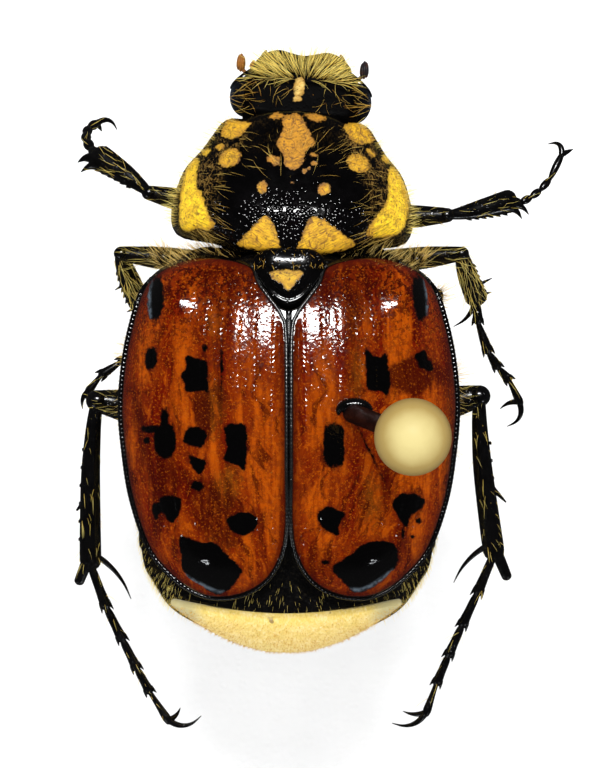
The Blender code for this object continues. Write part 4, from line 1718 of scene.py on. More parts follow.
# Where reflections are painted: crescents on the outer sides of the shoulder and tip blots.
CASE_PAINTED_REFLECTIONS = {
    Side.LEFT: (
        Patch((
            (152, 280), (149, 290), (147.5, 300), (148.5, 312), (151, 320), (151, 311), (150.5, 300),
            (151, 290),
        )),
        Patch((
            (184, 573.5), (191, 580), (202, 586), (217, 592.5), (224, 591), (217, 590.5), (203, 584),
            (192, 578.5),
        )),
    ),
    Side.RIGHT: (
        Patch((
            (424, 279), (428, 289), (429.5, 299), (429, 308), (427, 317), (426.5, 308), (426.5, 299),
            (425, 289),
        )),
        Patch((
            (393, 569), (384, 578.5), (372, 586.5), (358, 591.5), (350, 588), (360, 588.5), (371, 584),
            (383, 576),
        )),
    ),
}


@dataclass(frozen=True)
class Tint:
    """A soft tint of a wing case, by its weight: towards orange or ochre, or with a minus towards dark."""

    weight: float
    at: Spot
    size: Spot
    turn: float = 0.0

    def on(self, photo: Array) -> Array:
        """Its strength at each photograph place."""
        return self.weight * (1 - ease(Blot(self.at, self.size, self.turn).away(photo), -0.2, 0.3))


CASE_WARM = {
    Side.LEFT: (
        Tint(1.0, (183, 355), (20, 80), -6), Tint(0.8, (180, 410), (22, 40), -14),
        Tint(0.2, (252, 395), (34, 80)), Tint(0.25, (248, 470), (30, 70)),
        Tint(0.8, (168, 545), (16, 70), 20), Tint(0.6, (262, 560), (30, 50), 10),
        Tint(-2.4, (198, 408), (12, 38), -10), Tint(-0.9, (169, 475), (14, 34)),
        Tint(-1.1, (152, 477), (5, 42), -12), Tint(-0.7, (136, 410), (14, 90)),
        Tint(-0.55, (232, 285), (60, 50)), Tint(-1.1, (262, 542), (5, 30)),
        Tint(-0.6, (216, 372), (10, 60)), Tint(0.5, (190, 515), (10, 40)),
        Tint(-1.0, (212, 512), (40, 80), -32), Tint(-0.5, (148, 555), (30, 90), 22),
    ),
    Side.RIGHT: (
        Tint(1.0, (408, 322), (20, 22)), Tint(1.1, (434, 381), (8, 20), 20),
        Tint(0.75, (318, 385), (34, 80)), Tint(0.8, (322, 430), (30, 40)),
        Tint(0.9, (372, 396), (36, 10)), Tint(0.6, (398, 345), (30, 30)), Tint(0.6, (305, 520), (24, 60)),
        Tint(-0.6, (408, 550), (18, 50), -20), Tint(0.5, (350, 470), (18, 60)),
        Tint(-2.1, (414, 376), (48, 34)), Tint(-0.55, (345, 285), (70, 46)),
        Tint(-0.6, (349, 372), (6, 60)), Tint(-0.7, (392, 470), (16, 50)),
        Tint(0.3, (440, 450), (10, 80)), Tint(-0.6, (352, 490), (8, 40)), Tint(0.8, (372, 520), (40, 36)),
        Tint(-0.8, (446, 375), (14, 70)), Tint(-0.9, (312, 560), (30, 40)),
    ),
}
CASE_OLIVE = {
    Side.LEFT: (
        Tint(1.2, (213, 407), (18, 48)), Tint(0.9, (214, 323), (14, 30)),
        Tint(1.1, (226, 488), (24, 44), 20), Tint(0.6, (222, 540), (30, 30)),
        Tint(0.6, (140, 345), (8, 60)),
    ),
    Side.RIGHT: (
        Tint(1.1, (357, 375), (12, 34)), Tint(0.8, (352, 310), (16, 50)), Tint(1.0, (450, 460), (8, 80)),
        Tint(0.8, (372, 500), (20, 50), -10),
    ),
}


@dataclass
class WingCases:
    """Both wing cases: a domed shell each, with a beaded rim and a ridge along the seam. The pin runs through
    the right-hand shell, in which no hole is cut.

    Fields: the half width and the height of the crown along the body; how square the dome is, and how far
    it reaches past its half width; the shell's thickness and the drop of its rim; the grid's points across
    and along; swellings, as middle, reach and rise; the rows of pits; the corners of the grid among those
    of the outline; and the outline of the right-hand case.
    """

    half_widths: Curve1D = Curve1D((
        (3.6, 2.2), (3.1, 3.3), (2.7, 3.6), (2.1, 3.84), (1.0, 4.1), (-0.3, 4.225),
        (-1.5, 4.14), (-2.7, 3.94), (-3.9, 3.52), (-4.6, 3.0), (-5.0, 2.5), (-5.3, 1.85),
    ))
    crowns: Curve1D = Curve1D((
        (3.6, 1.3), (2.0, 1.72), (0.0, 1.95), (-2.0, 1.86), (-3.5, 1.5), (-4.5, 1.0), (-5.3, 0.42),
    ))
    crown_power: float = 2.6
    oversize: float = 1.006
    wall: float = 0.13
    rim_drop: float = 0.17
    across: int = 104
    along: int = 190
    calli: tuple[tuple[float, ...], ...] = ((3.1, 2.46, 0.64, 0.95, 0.33), (1.95, -4.3, 0.86, 0.66, 0.25))
    rows: tuple[float, ...] = (0.42, 0.86, 1.28, 1.72, 2.15, 2.6, 3.05, 3.45)
    corners: tuple[int, ...] = (0, 4, 11, 15)
    fine: int = 60
    outline: tuple[Spot, ...] = (
        (0.93, 3.15), (1.6, 3.36), (2.4, 3.38), (3.15, 3.1), (3.6, 2.68), (3.84, 2.1), (4.1, 1.0),
        (4.225, -0.3), (4.14, -1.5), (3.94, -2.7), (3.52, -3.9), (2.98, -4.58), (2.42, -5.0),
        (1.85, -5.17), (1.15, -5.08), (0.55, -4.72), (0.17, -4.1), (0.02, -3.3), (0.012, -1.8),
        (0.012, 0.0), (0.03, 1.5), (0.16, 1.95), (0.44, 2.35), (0.73, 2.75),
    )

    def height(self, x: Array, y: Array) -> Array:
        """The height of the dome over the plan, with the swellings of the shoulders and the tips.

        Args:
            x: Places across the body.
            y: Places along it.

        Returns:
            One height for each place.
        """
        share = np.clip(np.abs(x) / (self.half_widths(y) * self.oversize), 0, 0.994)
        dome = self.crowns(y) * (1 - share**self.crown_power) ** 0.5
        for at_x, at_y, reach_x, reach_y, rise in self.calli:
            away = ((np.abs(x) - at_x) / reach_x) ** 2 + ((y - at_y) / reach_y) ** 2
            dome = dome + rise * np.exp(-away) * (1 - share**8)
        return dome

    def grid(self) -> tuple[Array, Array]:
        """The plan of the right-hand wing case.

        Returns:
            It as a grid of points, and its edge as a fine loop.
        """
        corners = np.array(self.outline)
        loop = catmull(corners, np.arange(len(corners) * self.fine) / self.fine, True)
        cut = [c * self.fine for c in self.corners]
        u, v = self.clustered(self.across), self.clustered(self.along)
        front = respaced(loop[cut[0] : cut[1] + 1], u)
        outer = respaced(loop[cut[1] : cut[2] + 1], v)
        rear = respaced(loop[cut[2] : cut[3] + 1][::-1], u)
        inner = respaced(np.vstack([loop[cut[3] :], loop[:1]])[::-1], v)
        a, b, c, d = front[0], front[-1], rear[-1], rear[0]
        u, v = u[None, :, None], v[:, None, None]
        edges = (1 - v) * front[None] + v * rear[None] + (1 - u) * inner[:, None] + u * outer[:, None]
        return edges - ((1 - u) * (1 - v) * a + u * (1 - v) * b + u * v * c + (1 - u) * v * d), loop

    @staticmethod
    def clustered(count: int, pull: float = 0.75) -> Array:
        """Shares from 0 to 1 that lie closer together at both ends."""
        s = np.linspace(0, 1, count)
        return (1 - pull) * s + pull * (1 - np.cos(math.pi * s)) / 2

    def shelf(self) -> None:
        """Makes the narrow shelf that closes the notch between the seam ridges below the scutellum."""
        half = (
            (0.0, 2.04), (0.18, 2.09), (0.38, 2.22), (0.54, 2.42), (0.36, 2.1), (0.16, 1.8), (0.06, 1.3),
            (0.0, 1.0),
        )
        plate = Plate(
            mirrored_loop(half, 120),
            lambda x, y: self.height(x, y) - 0.1,
            lambda x, y: self.height(x, y) - 0.01 - 0.05 * np.exp(-((x / 0.035) ** 2)),
            lambda x, y: self.height(x, y) - 0.3,
            (0.05, 0.05), (2.0, 2.0), (0.0, 1.8),
        )
        draft = Draft("seam_shelf")
        draft.add_rings(plate.rings(36, 4)[0])
        draft.finish(RIM, Slot.WING_CASE)

    def build(self) -> None:
        """Makes both wing cases and their trim."""
        self.shelf()
        for side in (Side.RIGHT, Side.LEFT):
            self.shell(side)
            self.trim(side)
            log.info("wing case %s", side.word)

    def shell(self, side: Side) -> None:
        """Makes one wing case.

        Args:
            side: Which one it is.
        """
        plan, loop = self.grid()
        flat = plan.reshape(-1, 2)
        x, y = flat.T
        away = distance_to_line(flat, loop[::6], True)
        z = self.height(x, y) - 0.05 * np.exp(-((away / 0.05) ** 2))
        dip = 0.035 * np.exp(-(((x - 0.24) / 0.07) ** 2)) * ease(-y, -2.0, -1.2) * (1 - ease(-y, 3.6, 4.4))
        costa = 0.004 * np.cos(2 * math.pi * (x - 0.68) / 0.72) * (1 - ease(x, 1.7, 2.6)) * ease(y, -1.5, 0.5)
        z = z - dip + costa * ease(away, 0.15, 0.4)
        middle = np.stack([np.full(len(y), 1.9), np.clip(y, -3.4, 1.7)], axis=1)
        inner = flat + (middle - flat) * 0.03
        inner_z = self.height(inner[:, 0], inner[:, 1]) - self.wall - 0.04
        outer = np.column_stack([flat, z])
        photo = in_photo(outer * np.array([side.value, 1, 1]))
        row = np.zeros(len(x))
        for k, at in enumerate(self.rows):
            bow = at * self.half_widths(y) / 4.2
            beads = (0.5 + 0.5 * np.cos(2 * math.pi * y / 0.13 + 1.7 * k)) ** 2
            row += np.exp(-(((x - bow) / 0.03) ** 2)) * beads
        row *= ease(-y, -2.6, -1.6) * (1 - ease(-y, 3.4, 4.6))
        values = {
            "blot": marked(photo, CASE_BLOTS[side]),
            # how far each point is from the painted reflection crescents
            "bloom": marked(photo, CASE_PAINTED_REFLECTIONS[side]),
            "edge": away - 0.085,
            "front": distance_to_line(flat, loop[: self.corners[1] * self.fine : 6], False),
            "row": np.clip(row, 0, 1),
            "warm": sum(tint.on(photo) for tint in CASE_WARM[side]),
            "olive": sum(tint.on(photo) for tint in CASE_OLIVE[side]),
        }
        self.close(side, outer, np.column_stack([inner, inner_z]), values)

    def close(self, side: Side, outer: Array, inner: Array, values: dict[str, Array]) -> None:
        """Joins the two sheets of a wing case along its edge and makes the piece.

        Args:
            side: Which wing case it is.
            outer: The points of the outer sheet.
            inner: Those of the inner sheet.
            values: Named values at the outer points.
        """
        count = len(outer)
        number = np.arange(count).reshape(self.along, self.across)
        border = np.concatenate([number[0, :-1], number[:-1, -1], number[-1, :0:-1], number[:0:-1, 0]])
        skirt = outer[border] - np.array([0, 0, self.rim_drop])
        a, b, c, d = (n.ravel() for n in (number[:-1, :-1], number[:-1, 1:], number[1:, 1:], number[1:, :-1]))
        low = 2 * count + np.arange(len(border))
        after, low_after = np.roll(border, -1), np.roll(low, -1)
        faces = np.vstack([
            np.column_stack([a, b, c, d, a + count, d + count, c + count, b + count]).reshape(-1, 4),
            np.column_stack([border, low, low_after, after, low, border + count, after + count, low_after])
            .reshape(-1, 4),
        ])
        points = np.vstack([outer, inner, skirt]) * np.array([side.value, 1, 1])
        filled = {name: np.concatenate([v, np.full(count, 1.0), v[border]]) for name, v in values.items()}
        draft = Draft(f"wing_case_{side.word}")
        draft.add(points, faces.tolist(), **filled)
        draft.finish(CASE, Slot.WING_CASE, f"elytron_{side.word}")

    def trim(self, side: Side) -> None:
        """Makes the beaded rim round the side and the tip, and the ridge along the seam.

        Args:
            side: Which wing case they are on.
        """
        t = np.linspace(3.6, 24.0, 520)
        line = catmull(np.array(self.outline), t, True)
        tangent = unit(np.gradient(line, axis=0))
        inward = np.stack([tangent[:, 1], -tangent[:, 0]], axis=1)
        seam = ease(t, 16.6, 18.0) * (1 - ease(t, 22.6, 23.8))
        radii = 0.072 - 0.016 * ease(t, 10.5, 13.0) - 0.005 * seam
        radii = radii * (0.45 + 0.55 * ease(t, 3.6, 4.6)) * (1 - 0.35 * ease(t, 22.0, 24.0))
        line = line + inward * (0.02 + 0.028 * seam)[:, None]
        z = self.height(line[:, 0], line[:, 1]) - 0.035 * (1 - seam) + 0.01 * seam
        path = np.column_stack([line[:, 0] * side.value, line[:, 1], z])
        cut = int(np.searchsorted(t, 16.4))
        Cord(RIM, Slot.WING_CASE, 0.11, 0.06).lay(f"case_rim_{side.word}", path[: cut + 1], radii[: cut + 1])
        Cord(SEAM, Slot.WING_CASE, 0.10, 0.05).lay(f"seam_ridge_{side.word}", path[cut:], radii[cut:])


# Prothorax

PRONOTUM_PATCHES = (
    Patch((
        (285, 116), (298, 113.5), (304, 121), (312, 137), (315, 143), (306, 151), (304, 158), (300, 166),
        (293, 169.5), (285, 165), (284, 156), (278, 147), (277, 141), (283, 130), (282, 122),
    )),
    Blot((277.0, 116), (15, 6), -3), Blot((316.0, 117.5), (19, 7), 10),
    Patch((
        (228, 119), (238, 121), (250, 123), (246, 130), (236, 138), (226, 138), (221, 134), (224, 126),
    )),
    Patch((
        (345, 125), (356, 121), (366, 127), (374, 138), (371, 143), (360, 144), (351, 139), (346, 131),
    )),
    Blot((230, 158), (23, 17), -25), Blot((358, 163), (23, 18), 25), Blot((274, 160), (14, 9), 20),
    Blot((313.5, 163), (6, 5)), Blot((313, 154.5), (6, 2.5)), Blot((304, 171), (5, 3)),
    Blot((309, 168), (3, 2.5)), Blot((262, 187), (10, 12), -15), Blot((324, 189), (14, 11), -20),
    Blot((292, 183), (3, 3)), Blot((206, 152), (9, 6), -30), Blot((220, 147), (8, 6), -20),
    Blot((371, 153), (9, 6), 35), Blot((386, 159), (9, 8), 40),
    Patch((
        (193, 158), (199, 160), (197, 172), (197, 187), (202, 194), (206, 206), (209, 216), (215, 224),
        (209, 230), (198, 229), (188, 231), (180, 228), (179, 214), (180, 198), (182, 184), (186, 168),
    )),
    Patch((
        (389, 168), (398, 169), (404, 178), (408, 190), (409, 205), (406, 222), (400, 233), (388, 237),
        (372, 237), (366, 233), (372, 222), (382, 210), (388, 196), (388, 182),
    )),
    Patch((
        (263, 216), (269, 217), (275, 228), (279, 241), (278, 251), (258, 250), (238, 246), (242, 238),
        (254, 226),
    )),
    Patch((
        (309, 219), (320, 218), (332, 225), (345, 236), (356, 244), (340, 251), (318, 254), (297, 252),
        (302, 237),
    )),
)


@dataclass
class Prothorax:
    """The pronotum with its markings and margins, and the sternum and fore hips below it."""

    place: Matrix = Matrix.Translation((0.1, 5.05, 0.0)) @ Matrix.Rotation(math.radians(-2.2), 4, "Z")
    half: tuple[Spot, ...] = (
        (0.0, 1.97), (0.5, 1.95), (0.95, 1.87), (1.3, 1.74), (1.62, 1.73), (1.85, 1.6), (2.05, 1.32),
        (2.3, 0.95), (2.69, 0.43), (2.88, -0.05), (2.99, -0.55), (2.96, -1.02), (2.7, -1.27),
        (1.9, -1.4), (1.35, -1.6), (0.6, -1.7), (0.0, -1.7),
    )
    around: int = 300
    rows: int = 84

    @staticmethod
    def rim(x: Array, y: Array) -> Array:
        """The height of the edge.

        Args:
            x: Places across the plate.
            y: Places along it.

        Returns:
            One height for each place.
        """
        rear = ease(-y, 0.5, 1.6) * np.maximum(0.0, 1 - (x / 2.6) ** 2)
        fore = ease(y, 0.8, 1.8) * np.maximum(0.0, 1 - (x / 1.7) ** 2)
        return -0.3 + 1.15 * rear + 0.15 * ease(y, 0.8, 1.6) + 0.5 * fore

    @staticmethod
    def top(x: Array, y: Array) -> Array:
        """The height of the back, with a shallow dimple on each side."""
        dimple = sum(0.06 * np.exp(-((x - s * 1.75) ** 2 / 0.12 + (y + 0.35) ** 2 / 0.2)) for s in (1, -1))
        return 1.38 - 0.32 * y - 0.05 * x * x - dimple

    @staticmethod
    def bottom(x: Array, y: Array) -> Array:
        """The height of the sternum."""
        return -1.55 + 0.2 * ease(y, 0.4, 1.6)

    def build(self) -> Piece:
        """Makes the prothorax.

        Returns:
            The pronotum, which carries hair.
        """
        outline = mirrored_loop(self.half, self.around)
        plate = Plate(outline, self.rim, self.top, self.bottom, (1.55, 1.2), (2.5, 2.2), (0.0, 0.1))
        rings, away = plate.rings(self.rows, 34)
        upper = np.arange(len(rings)) < self.rows
        photo = in_photo(moved(rings.reshape(-1, 3), self.place))
        patch = marked(photo, PRONOTUM_PATCHES).reshape(away.shape)
        patch[~upper] = 1.0
        x, y = rings[..., 0], rings[..., 1]
        turn = np.array(self.place)[:3, :3].T
        across, rearwards = -np.sign(x) * ease(np.abs(x), 0.2, 1.2), -0.35 - 0.5 * ease(y, 0.4, 1.4)
        inward = unit(np.stack([across, rearwards, 0 * x], axis=2)) @ turn
        outward = unit(np.stack([np.sign(x), 0.25 + 0 * x, 0 * x], axis=2)) @ turn
        wide = np.interp(y, [-1.4, -0.6, 0.4, 1.7], [2.75, 2.8, 2.5, 1.6])
        flank = ease(np.abs(x) / wide, 0.58, 0.8)
        growth = np.clip(0.32 * ease(y, 0.1, 1.2) + 0.8 * flank, 0, 1) * (away > 0.16) * upper[:, None]
        growth = growth * np.where(patch < -0.04, 0.5, 1.0)
        edge = (away > 0.02) & (away < 0.14) & upper[:, None]
        fringe = edge & (np.abs(x) > 1.5) & (y > -1.0)
        disc = ease(-y - 0.2 * x * x, -0.3, 0.5) + 0.8 * ease(-y, 0.85, 1.0) * ease(np.abs(x), 2.2, 2.4)
        near = ease(0.42 - patch, 0.0, 0.2) * ease(-y, 0.3, 0.7) * (np.abs(x) < 2.3)
        disc = np.clip(1.05 * disc + 0.5 * near, 0, 1) * upper[:, None]
        rich = np.where((np.abs(x) < 0.8) & (y > -0.1), 1.0, np.where(np.abs(x) < 2.05, 0.62, 0.0))
        draft = Draft("pronotum_shell")
        draft.add_rings(
            rings, patch=patch, disc=disc, rich=rich, growth=growth, comb=inward, comb_rim=outward,
            growth_rim=fringe.astype(float), unwrap=np.stack([x / 6.4 + 0.5, y / 4.2 + 0.5, 0 * x], axis=2),
        )
        shell = draft.finish(PRONOTUM, Slot.PRONOTUM, "pronotum", at=self.place)
        self.margins(outline)
        self.hips()
        log.info("prothorax")
        return shell

    def margins(self, outline: Array) -> None:
        """Makes the raised cord along the side and rear edges of the pronotum.

        Args:
            outline: The outline of the pronotum.
        """
        count = len(outline)
        line = outline[int(count * 0.165) : int(count * 0.835)]
        z = self.rim(line[:, 0], line[:, 1]) + 0.03
        share = np.linspace(0, 1, len(line))
        radii = 0.045 * (0.35 + 0.65 * ease(share, 0.0, 0.06) * ease(1 - share, 0.0, 0.06))
        path = np.column_stack([line * 0.994, z])
        Cord(RIM, Slot.PRONOTUM, 0.2, 0.08, 0.04, 10).lay("pronotum_rim", path, radii, self.place)

    def hips(self) -> None:
        """Makes the fore hips and the keel between them."""
        draft = Draft("fore_hips")
        for side in (1, -1):
            tilt = Euler((0, side * 0.35, side * 0.3))
            draft.add_ellipsoid((side * 0.72, -0.75, -1.5), (0.62, 0.5, 0.5), tilt, 36)
            draft.add_ellipsoid((side * 0.28, -0.95, -1.85), (0.26, 0.24, 0.22), None, 20)
        draft.add_ellipsoid((0, -0.4, -1.62), (0.16, 0.7, 0.2), None, 20)
        draft.finish(PLATES, Slot.BLACK_PLATE, at=self.place)


# Head

HEAD_PATCHES = (
    Patch(((298, 78), (303, 79), (305, 84), (302, 95), (295, 95), (294, 88))),
    Blot((297.4, 98.5), (8, 6)),
)


@dataclass
class Head:
    """The head: the skull with its notched front plate, eyes, feelers and mouthparts."""

    place: Matrix = Matrix.Translation((0.27, 7.0, 0.0)) @ Matrix.Rotation(math.radians(-3.5), 4, "Z")
    half: tuple[Spot, ...] = (
        (0.0, 1.44), (0.3, 1.49), (0.63, 1.55), (0.98, 1.43), (1.2, 1.2), (1.27, 0.98), (1.42, 0.82),
        (1.5, 0.4), (1.46, -0.1), (1.3, -0.45), (0.9, -0.68), (0.0, -0.72),
    )
    eye_at: Place = (1.36, 0.33, -0.55)
    eye_radii: Place = (0.42, 0.52, 0.5)
    around: int = 220
    rows: int = 64

    @staticmethod
    def rim(x: Array, y: Array) -> Array:
        """The height of the edge."""
        return -0.45 - 0.16 * y

    @staticmethod
    def top(x: Array, y: Array) -> Array:
        """The height of the brow and of the hollow front plate.

        Args:
            x: Places across the head.
            y: Places along it.

        Returns:
            One height for each place.
        """
        hollow = 0.1 * np.exp(-((y - 1.12) ** 2 / 0.05)) * (1 - (x / 1.4) ** 2)
        groove = 0.035 * np.exp(-((y - 0.78 + 0.12 * x * x) ** 2 / 0.003))
        neck = 0.45 * ease(-y, -0.05, 0.6)
        return 0.22 - 0.3 * y + 0.05 * y * y - hollow - groove - neck

    @staticmethod
    def bottom(x: Array, y: Array) -> Array:
        """The height of the throat."""
        return -1.15 + 0.1 * y + 0.42 * ease(y, 0.7, 1.5)

    def build(self) -> Piece:
        """Makes the head.

        Returns:
            The skull, which carries hair.
        """
        outline = mirrored_loop(self.half, self.around)
        plate = Plate(outline, self.rim, self.top, self.bottom, (0.5, 0.6), (3.0, 2.4), (0.0, 0.35))
        rings, away = plate.rings(self.rows, 26)
        upper = np.arange(len(rings)) < self.rows
        x, y = rings[..., 0], rings[..., 1]
        rings[..., 2] += 0.09 * np.exp(-(((away - 0.05) / 0.045) ** 2)) * ease(y, 0.75, 1.1) * upper[:, None]
        patch = marked(in_photo(moved(rings.reshape(-1, 3), self.place)), HEAD_PATCHES).reshape(away.shape)
        patch[~upper] = 1.0
        front = ease(y, 0.72, 0.85)
        outward = np.stack([x - 0.06, y - 0.62, 0.12 + 0 * x], axis=2)
        backward = np.stack([x * 0.3 + 0.3 * np.sin(7 * x), 0.25 - y, 0.2 + 0 * x], axis=2)
        comb = unit(outward * front[..., None] + backward * (1 - front[..., None]))
        comb = comb @ np.array(self.place)[:3, :3].T
        plain = upper[:, None] * (away > 0.05) * np.where(patch < 0, 0.2, 1.0)
        growth = front * plain * ease(away, 0.03, 0.25)
        brow = (1 - front) * plain * (0.3 + 0.7 * ease(np.abs(x), 0.4, 1.2)) * ease(y, -0.5, 0.1)
        draft = Draft("skull")
        draft.add_rings(
            rings, patch=patch, growth=growth, comb=comb, growth_brow=brow, comb_brow=comb,
            unwrap=np.stack([x / 3.4 + 0.5, y / 2.6 + 0.35, 0 * x], axis=2),
        )
        skull = draft.finish(HEAD_SKIN, Slot.HEAD, "head", at=self.place)
        for side in Side:
            self.eye(side)
            self.feeler(side)
        self.mouth()
        log.info("head")
        return skull

    def eye(self, side: Side) -> None:
        """Makes one eye and the spur of the cheek that runs over its front.

        Args:
            side: Which eye it is.
        """
        s = side.value
        x, y, z = self.eye_at
        draft = Draft(f"eye_ball_{side.word}")
        draft.add_ellipsoid((s * x, y, z), self.eye_radii, None, 64)
        draft.finish(EYE, Slot.EYE, f"eye_{side.word}", at=self.place)
        spur = (
            ((s * 1.2, 0.96, -0.5), 0.26, 0.12), ((s * 1.46, 0.8, -0.42), 0.2, 0.1),
            ((s * 1.66, 0.64, -0.46), 0.14, 0.08), ((s * 1.76, 0.52, -0.52), 0.07, 0.05),
        )
        cheek = Draft(f"cheek_{side.word}")
        cheek.add_rings(station_tube(spur, 20, 6))
        cheek.finish(RIM, Slot.HEAD, at=self.place)

    def feeler(self, side: Side) -> None:
        """Makes one feeler: its first joint, a chain of beads and the three leaves of the club.

        Args:
            side: Which feeler it is.
        """
        s = side.value
        draft = Draft(f"feeler_{side.word}")
        first = (
            ((s * 1.1, 0.72, -0.75), 0.12, 0.12), ((s * 1.24, 0.84, -0.72), 0.2, 0.19),
            ((s * 1.37, 0.92, -0.7), 0.15, 0.14),
        )
        draft.add_rings(station_tube(first, 20, 6))
        for k in range(5):
            f = k / 4
            middle = (s * (1.38 + 0.13 * f), 0.90 + 0.12 * f, -0.70 + 0.02 * math.sin(2 * f))
            draft.add_ellipsoid(middle, (0.075 - 0.008 * k, 0.05, 0.07), Euler((0, 0, s * 0.9)), 18)
        for k, long in enumerate((0.19, 0.235, 0.2)):
            middle = (s * (1.5 + 0.05 * k), 1.17 + 0.01 * k, -0.70 + 0.02 * (1 - k))
            draft.add_ellipsoid(middle, (0.065, long, 0.17), Euler((0.06, 0, -s * (0.04 - 0.05 * k))), 32)
        if side is Side.LEFT:
            self.bristles(draft)
        finish = FEELER_DARK if side is Side.RIGHT else FEELER_LIGHT
        draft.finish(finish, Slot.FEELER, f"antenna_{side.word}", at=self.place)

    @staticmethod
    def bristles(draft: Draft) -> None:
        """Adds the bristles by the root of the left-hand feeler.

        Args:
            draft: The feeler.
        """
        for f in np.arange(7) / 6:
            root = np.array([-1.36 + 0.12 * f, 0.92 + 0.1 * f, -0.66])
            tip = root + np.array([0.14 - 0.16 * f, 0.34 - 0.12 * f, 0.05])
            bent = (root + tip) / 2 + np.array([0.1 - 0.17 * f, -0.02, 0.08])
            draft.add_rings(station_tube([(root, 0.045, 0.04), (bent, 0.03, 0.03), (tip, 0.01, 0.01)], 8, 6))

    def mouth(self) -> None:
        """Makes the mouthparts below the front plate: chin, brushes and palps."""
        draft = Draft("mouthparts")
        draft.add_ellipsoid((0, 0.35, -1.02), (0.5, 0.62, 0.22), None, 32)
        draft.add_ellipsoid((0, 0.95, -0.88), (0.62, 0.35, 0.16), None, 32)
        for s in (1, -1):
            draft.add_ellipsoid((s * 0.62, 0.85, -0.92), (0.26, 0.42, 0.18), Euler((0, 0, -s * 0.3)), 24)
            outer_palp = (
                ((s * 0.7, 0.7, -1.02), 0.11, 0.11), ((s * 0.95, 0.98, -1.05), 0.12, 0.12),
                ((s * 1.03, 1.22, -1.02), 0.10, 0.10), ((s * 1.0, 1.4, -0.98), 0.12, 0.12),
                ((s * 0.94, 1.52, -0.95), 0.06, 0.06),
            )
            inner_palp = (
                ((s * 0.22, 0.9, -1.06), 0.07, 0.07), ((s * 0.3, 1.1, -1.1), 0.08, 0.08),
                ((s * 0.28, 1.26, -1.08), 0.06, 0.06),
            )
            draft.add_rings(station_tube(outer_palp, 16, 6))
            draft.add_rings(station_tube(inner_palp, 14, 6))
        draft.finish(FEELER_DARK, Slot.HEAD, at=self.place)


# Hind body

LEDGE = -0.36
SHIELD_PATCHES = (
    Patch((
        (271, 272), (285, 270.5), (300, 271), (302, 276), (296, 282), (290, 290), (285, 289), (281, 283),
        (273, 279),
    )),
)


